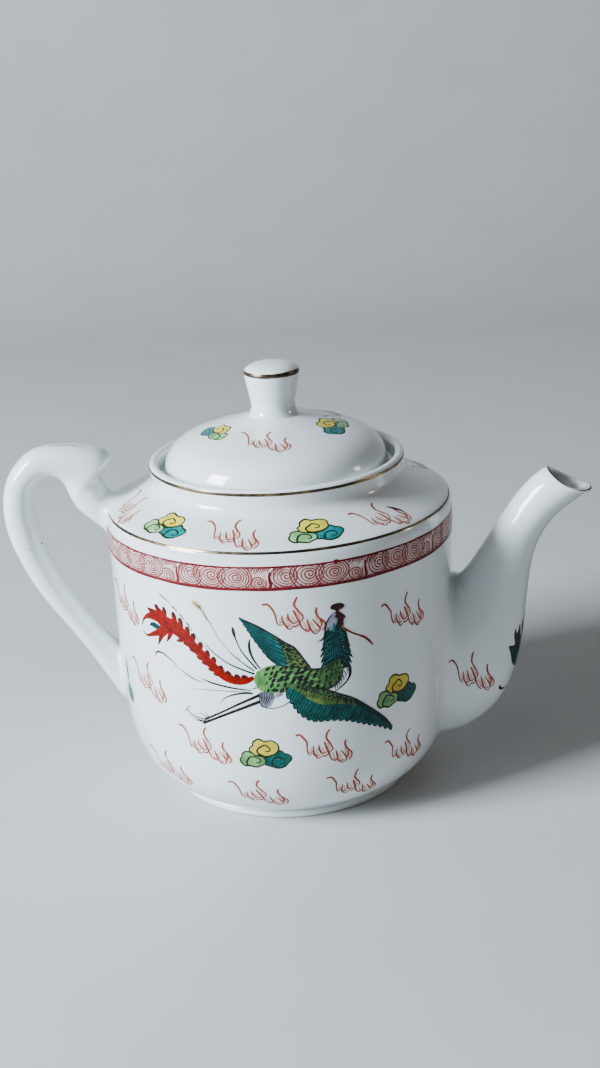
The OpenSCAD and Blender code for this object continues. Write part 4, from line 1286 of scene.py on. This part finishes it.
def decorate_limbs(pot, bird, rng):
    """Flames on both sides of the spout, a leaf spray down its front, and marks on the handle."""
    ink, gold = bird["ink"], bird["gold"]
    for side in (-1, 1):
        target = turn_z(np.array(SPOUT_FLAME_AT) * (1, side, 1), -SPOUT_TURN)
        flame(pot, facing(spout, target, side * 90 - SPOUT_TURN, -4 * side, 0.8), rng, (0.88, 1.4))
    leaf_spray(facing(spout, turn_z(np.array(SPOUT_LEAF_AT), -SPOUT_TURN), -SPOUT_TURN), bird["deep"],
               bird["dark_red"], ink)
    top = cast_chart(handle, HANDLE_TOP_AT, (1, 0, 0), (0, 1, 0))
    gold.stroke(top, [(-8.6, -1.6), (-4.4, -0.9), (0.4, -1.2), (4.8, -2.6)], (0.15, 0.7, 0.75, 0.2), 1, 0.5)
    for *place, size in HANDLE_SPOTS:
        spot = size * np.array([(-0.5, 0), (0, 0.5), (0.5, 0), (0, -0.45)])
        ink.fill(facing(handle, np.array(place), -90), spot)
    for side in (-1, 1):
        chart = turned_chart(SIDE, 180 + LEAF_DROP_AT[0] * side, LEAF_DROP_AT[1], 8 * side)
        mirror = np.array((side, 1))
        gold.stroke(chart, mirror * [(0.6, 10.6), (1.1, 5.6), (0.4, 0.4)], (0.6, 2.2, 1.0), 0)
        drop = mirror * [(0.2, 0), (-2.4, -3.2), (-2.8, -6.4), (0.3, -8.6), (3.0, -6), (2.7, -2.6)]
        bird["teal"].fill(chart, drop, 1)
        ink.stroke(chart, closed(drop), (0.25, 0.45, 0.3), 2)


def decorate():
    pot, cover = palette(MOTIF_PAINTS, "pot", "pot"), palette(MOTIF_PAINTS, "cover", "lid")
    rng = np.random.default_rng(MOTIF_SEED)
    bird = palette(BIRD_PAINTS)
    bird["gold"] = Paint("bird_gold", GOLD, slot="gilding")
    for half in ((0, 180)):
        phoenix(turned_chart(SIDE, BIRD_AT[0] + half, BIRD_AT[1]), bird, rng)
        for draw, places, spin, size, extra in MOTIFS:
            for azimuth, height in places:
                chart = turned_chart(SIDE, azimuth + half, height, rng.uniform(*spin), size)
                draw(pot, chart, rng, *extra)
        bird["dark_red"].stroke(turned_chart(SIDE, SHOULDER_DAB_AT[0] + half, SHOULDER_DAB_AT[1]),
                                [(-2.4, 4.4), (-0.6, 2.6), (1.2, 0.6), (2.2, -2.4)], (0.5, 1.2, 1.1, 0.4), 2)
    decorate_limbs(pot, bird, rng)
    for draw, azimuth, height, size, flip in LID_MOTIFS:
        draw(cover, turned_chart(LID_UP, azimuth, height, 0, size, flip), rng)


# ---- gilding ----

def gilt_ring(name, outline, height, width, body, node, seed, gap=0.0):
    """A brushed gold line round a turned surface, uneven in width."""
    rng = np.random.default_rng(seed)
    paint = Paint(name, GOLD, body, "gilding", (node,))
    chart = turned_chart(outline, 180, height)
    r = np.interp(height, outline[:, 1], outline[:, 0])
    x = np.linspace(gap, 2 * math.pi * r - gap, 241)
    turn = x / x[-1] * 2 * math.pi
    wave = sum(np.sin(turn * k + rng.uniform(0, 6)) / k ** 0.7 for k in (2, 5, 9, 14, 23))
    wide = width * (1 + 0.13 * wave)
    u = np.linspace(-1, 1, 9)
    y = (0.08 * np.sin(turn * 3 + 1))[:, None] + wide[:, None] / 2 * u
    points = np.stack([np.broadcast_to(x[:, None], y.shape), y], -1)
    paint.patch(chart, points, np.broadcast_to(0.01 + 0.05 * (1 - u ** 4), y.shape))


def gilt_lip():
    """The line on the spout's lip, laid as a ribbon round the mouth."""
    paint = Paint("spout_lip_gilding", GOLD, "pot", "gilding", ("spout_gilt_lip",))
    angles = np.linspace(0, 2 * math.pi, 97)
    outer, inner = lip_edges(angles)
    wide = 26 + 9 * np.sin(2 * angles + 0.6) + 6 * np.sin(5 * angles)
    rings = []
    for u in np.linspace(-1, 1, 7):
        a = np.radians(62 + wide * u)[:, None]
        rings.append((outer + inner) / 2 + ((outer - inner) / 2 * np.cos(a)
                                            + MOUTH_OUT * LIP_WALL / 2 * np.sin(a)) * (1.05 - 0.04 * u * u))
    paint.verts.append(np.stack(rings, 1).reshape(-1, 3))
    paint.faces += grid_faces(len(angles), len(rings), False)


def build_gilding():
    gilt_ring("rim_gilding", np.vstack([NECK, RIM[:8]]), RIM_Z - RIM_ROUND + 0.3, 1.15, "pot",
              "rim_gilt_line", 4)
    gilt_ring("shoulder_gilding", SIDE, SHOULDER_Z - 0.1, 1.0, "pot", "shoulder_gilt_line", 5,
              ROOT_GAP)
    gilt_ring("knob_gilding", np.vstack([KNOB_SIDE, KNOB_CAP[:10]]), KNOB_EDGE_Z + 0.1, 1.75, "cover",
              "knob_gilt_line", 6)
    gilt_lip()


decorate()
build_border()
build_gilding()
for paint in Paint.every:
    paint.build()


# ---- stage, light and camera ----

# The floor runs level to the back and then curves up, in millimetres.
STAGE_HALF = 4200
STAGE_BEND_Y = 900
STAGE_BEND_R = 500
STAGE_TOP = 2200


def build_stage():
    look = Look("pale_floor")
    pale = look.shaded({"Base Color": look.ramp(look.noise(90, 3), (0.3, 0.50), (0.7, 0.53)),
                        "Roughness": 0.55})
    bend = np.radians(np.arange(5, 91, 5))
    depth = np.concatenate([np.linspace(-STAGE_HALF, STAGE_BEND_Y, 12),
                            STAGE_BEND_Y + STAGE_BEND_R * np.sin(bend), [STAGE_BEND_Y + STAGE_BEND_R]])
    height = np.concatenate([np.zeros(12), STAGE_BEND_R * (1 - np.cos(bend)), [STAGE_TOP]])
    x = np.linspace(-STAGE_HALF, STAGE_HALF, 12)
    verts = [(a, d, h) for d, h in zip(depth, height) for a in x]
    floor = make("floor", verts, grid_faces(len(depth), len(x), False), [pale])


def stand(obj, right, up, back, place):
    """Puts a lamp or camera at a place in metres, facing away from back."""
    matrix = np.eye(4)
    matrix[:3, 0], matrix[:3, 1], matrix[:3, 2], matrix[:3, 3] = right, up, back, place
    obj.matrix_world = Matrix(matrix.tolist())


# Lights: name, azimuth, elevation, distance and size in metres, watts and colour.
LIGHTS = [("window_left", -156, 25, 1.5, (0.50, 0.72), 84, (0.80, 0.92, 1.0)),
          ("window_right", 0, 15, 1.9, (0.22, 0.32), 3.0, (1.0, 0.90, 0.78)),
          ("soft_top", -135, 58, 1.8, (1.3, 1.3), 4, (0.95, 0.98, 1.0))]
LIGHTS_AIM = (0, 0, 0.09)
ROOM_COLOUR = (0.66, 0.64, 0.61)
ROOM_STRENGTH = 0.085


def area_light(name, azimuth, elevation, distance, size, power, colour):
    a, e = math.radians(azimuth), math.radians(elevation)
    way = np.array([math.cos(a) * math.cos(e), math.sin(a) * math.cos(e), math.sin(e)])
    data = bpy.data.lights.new(name, "AREA")
    data.shape = "RECTANGLE"
    data.size, data.size_y = size
    data.energy = power
    data.color = colour
    lamp = bpy.data.objects.new(name, data)
    bpy.context.scene.collection.objects.link(lamp)
    right = unit(np.cross((0, 0, 1.0), way))
    stand(lamp, right, np.cross(way, right), way, LIGHTS_AIM + way * distance)


def build_lights():
    for light in LIGHTS:
        area_light(*light)
    world = bpy.data.worlds.new("room")
    bpy.context.scene.world = world
    world.use_nodes = True
    sky = world.node_tree.nodes["Background"]
    sky.inputs["Color"].default_value = (*ROOM_COLOUR, 1)
    sky.inputs["Strength"].default_value = ROOM_STRENGTH


# Place in millimetres, angles in degrees, and the focal length in pixels of the picture.
CAMERA_BACK = 548.4
CAMERA_UP = 292.5
CAMERA_YAW = 0.81
CAMERA_PITCH = 19.30
CAMERA_ROLL = -3.01
FOCAL_PX = 1450.0
PHOTO_HEIGHT_PX = 1068.0
SENSOR_MM = 36.0


def build_camera():
    yaw, pitch, roll = (math.radians(v) for v in (CAMERA_YAW, CAMERA_PITCH, CAMERA_ROLL))
    forward = np.array([math.sin(yaw) * math.cos(pitch), math.cos(yaw) * math.cos(pitch), -math.sin(pitch)])
    right = np.array([math.cos(yaw), -math.sin(yaw), 0.0])
    up = np.cross(right, forward)
    tilted_right = right * math.cos(roll) + up * math.sin(roll)
    tilted_up = -right * math.sin(roll) + up * math.cos(roll)
    data = bpy.data.cameras.new("camera")
    data.sensor_fit = "VERTICAL"
    data.sensor_height = SENSOR_MM
    data.lens = FOCAL_PX * SENSOR_MM / PHOTO_HEIGHT_PX
    data.clip_start = 0.02
    camera = bpy.data.objects.new("camera", data)
    bpy.context.scene.collection.objects.link(camera)
    stand(camera, tilted_right, tilted_up, -forward, (0, -CAMERA_BACK * MM, CAMERA_UP * MM))
    bpy.context.scene.camera = camera


build_stage()
build_lights()
build_camera()
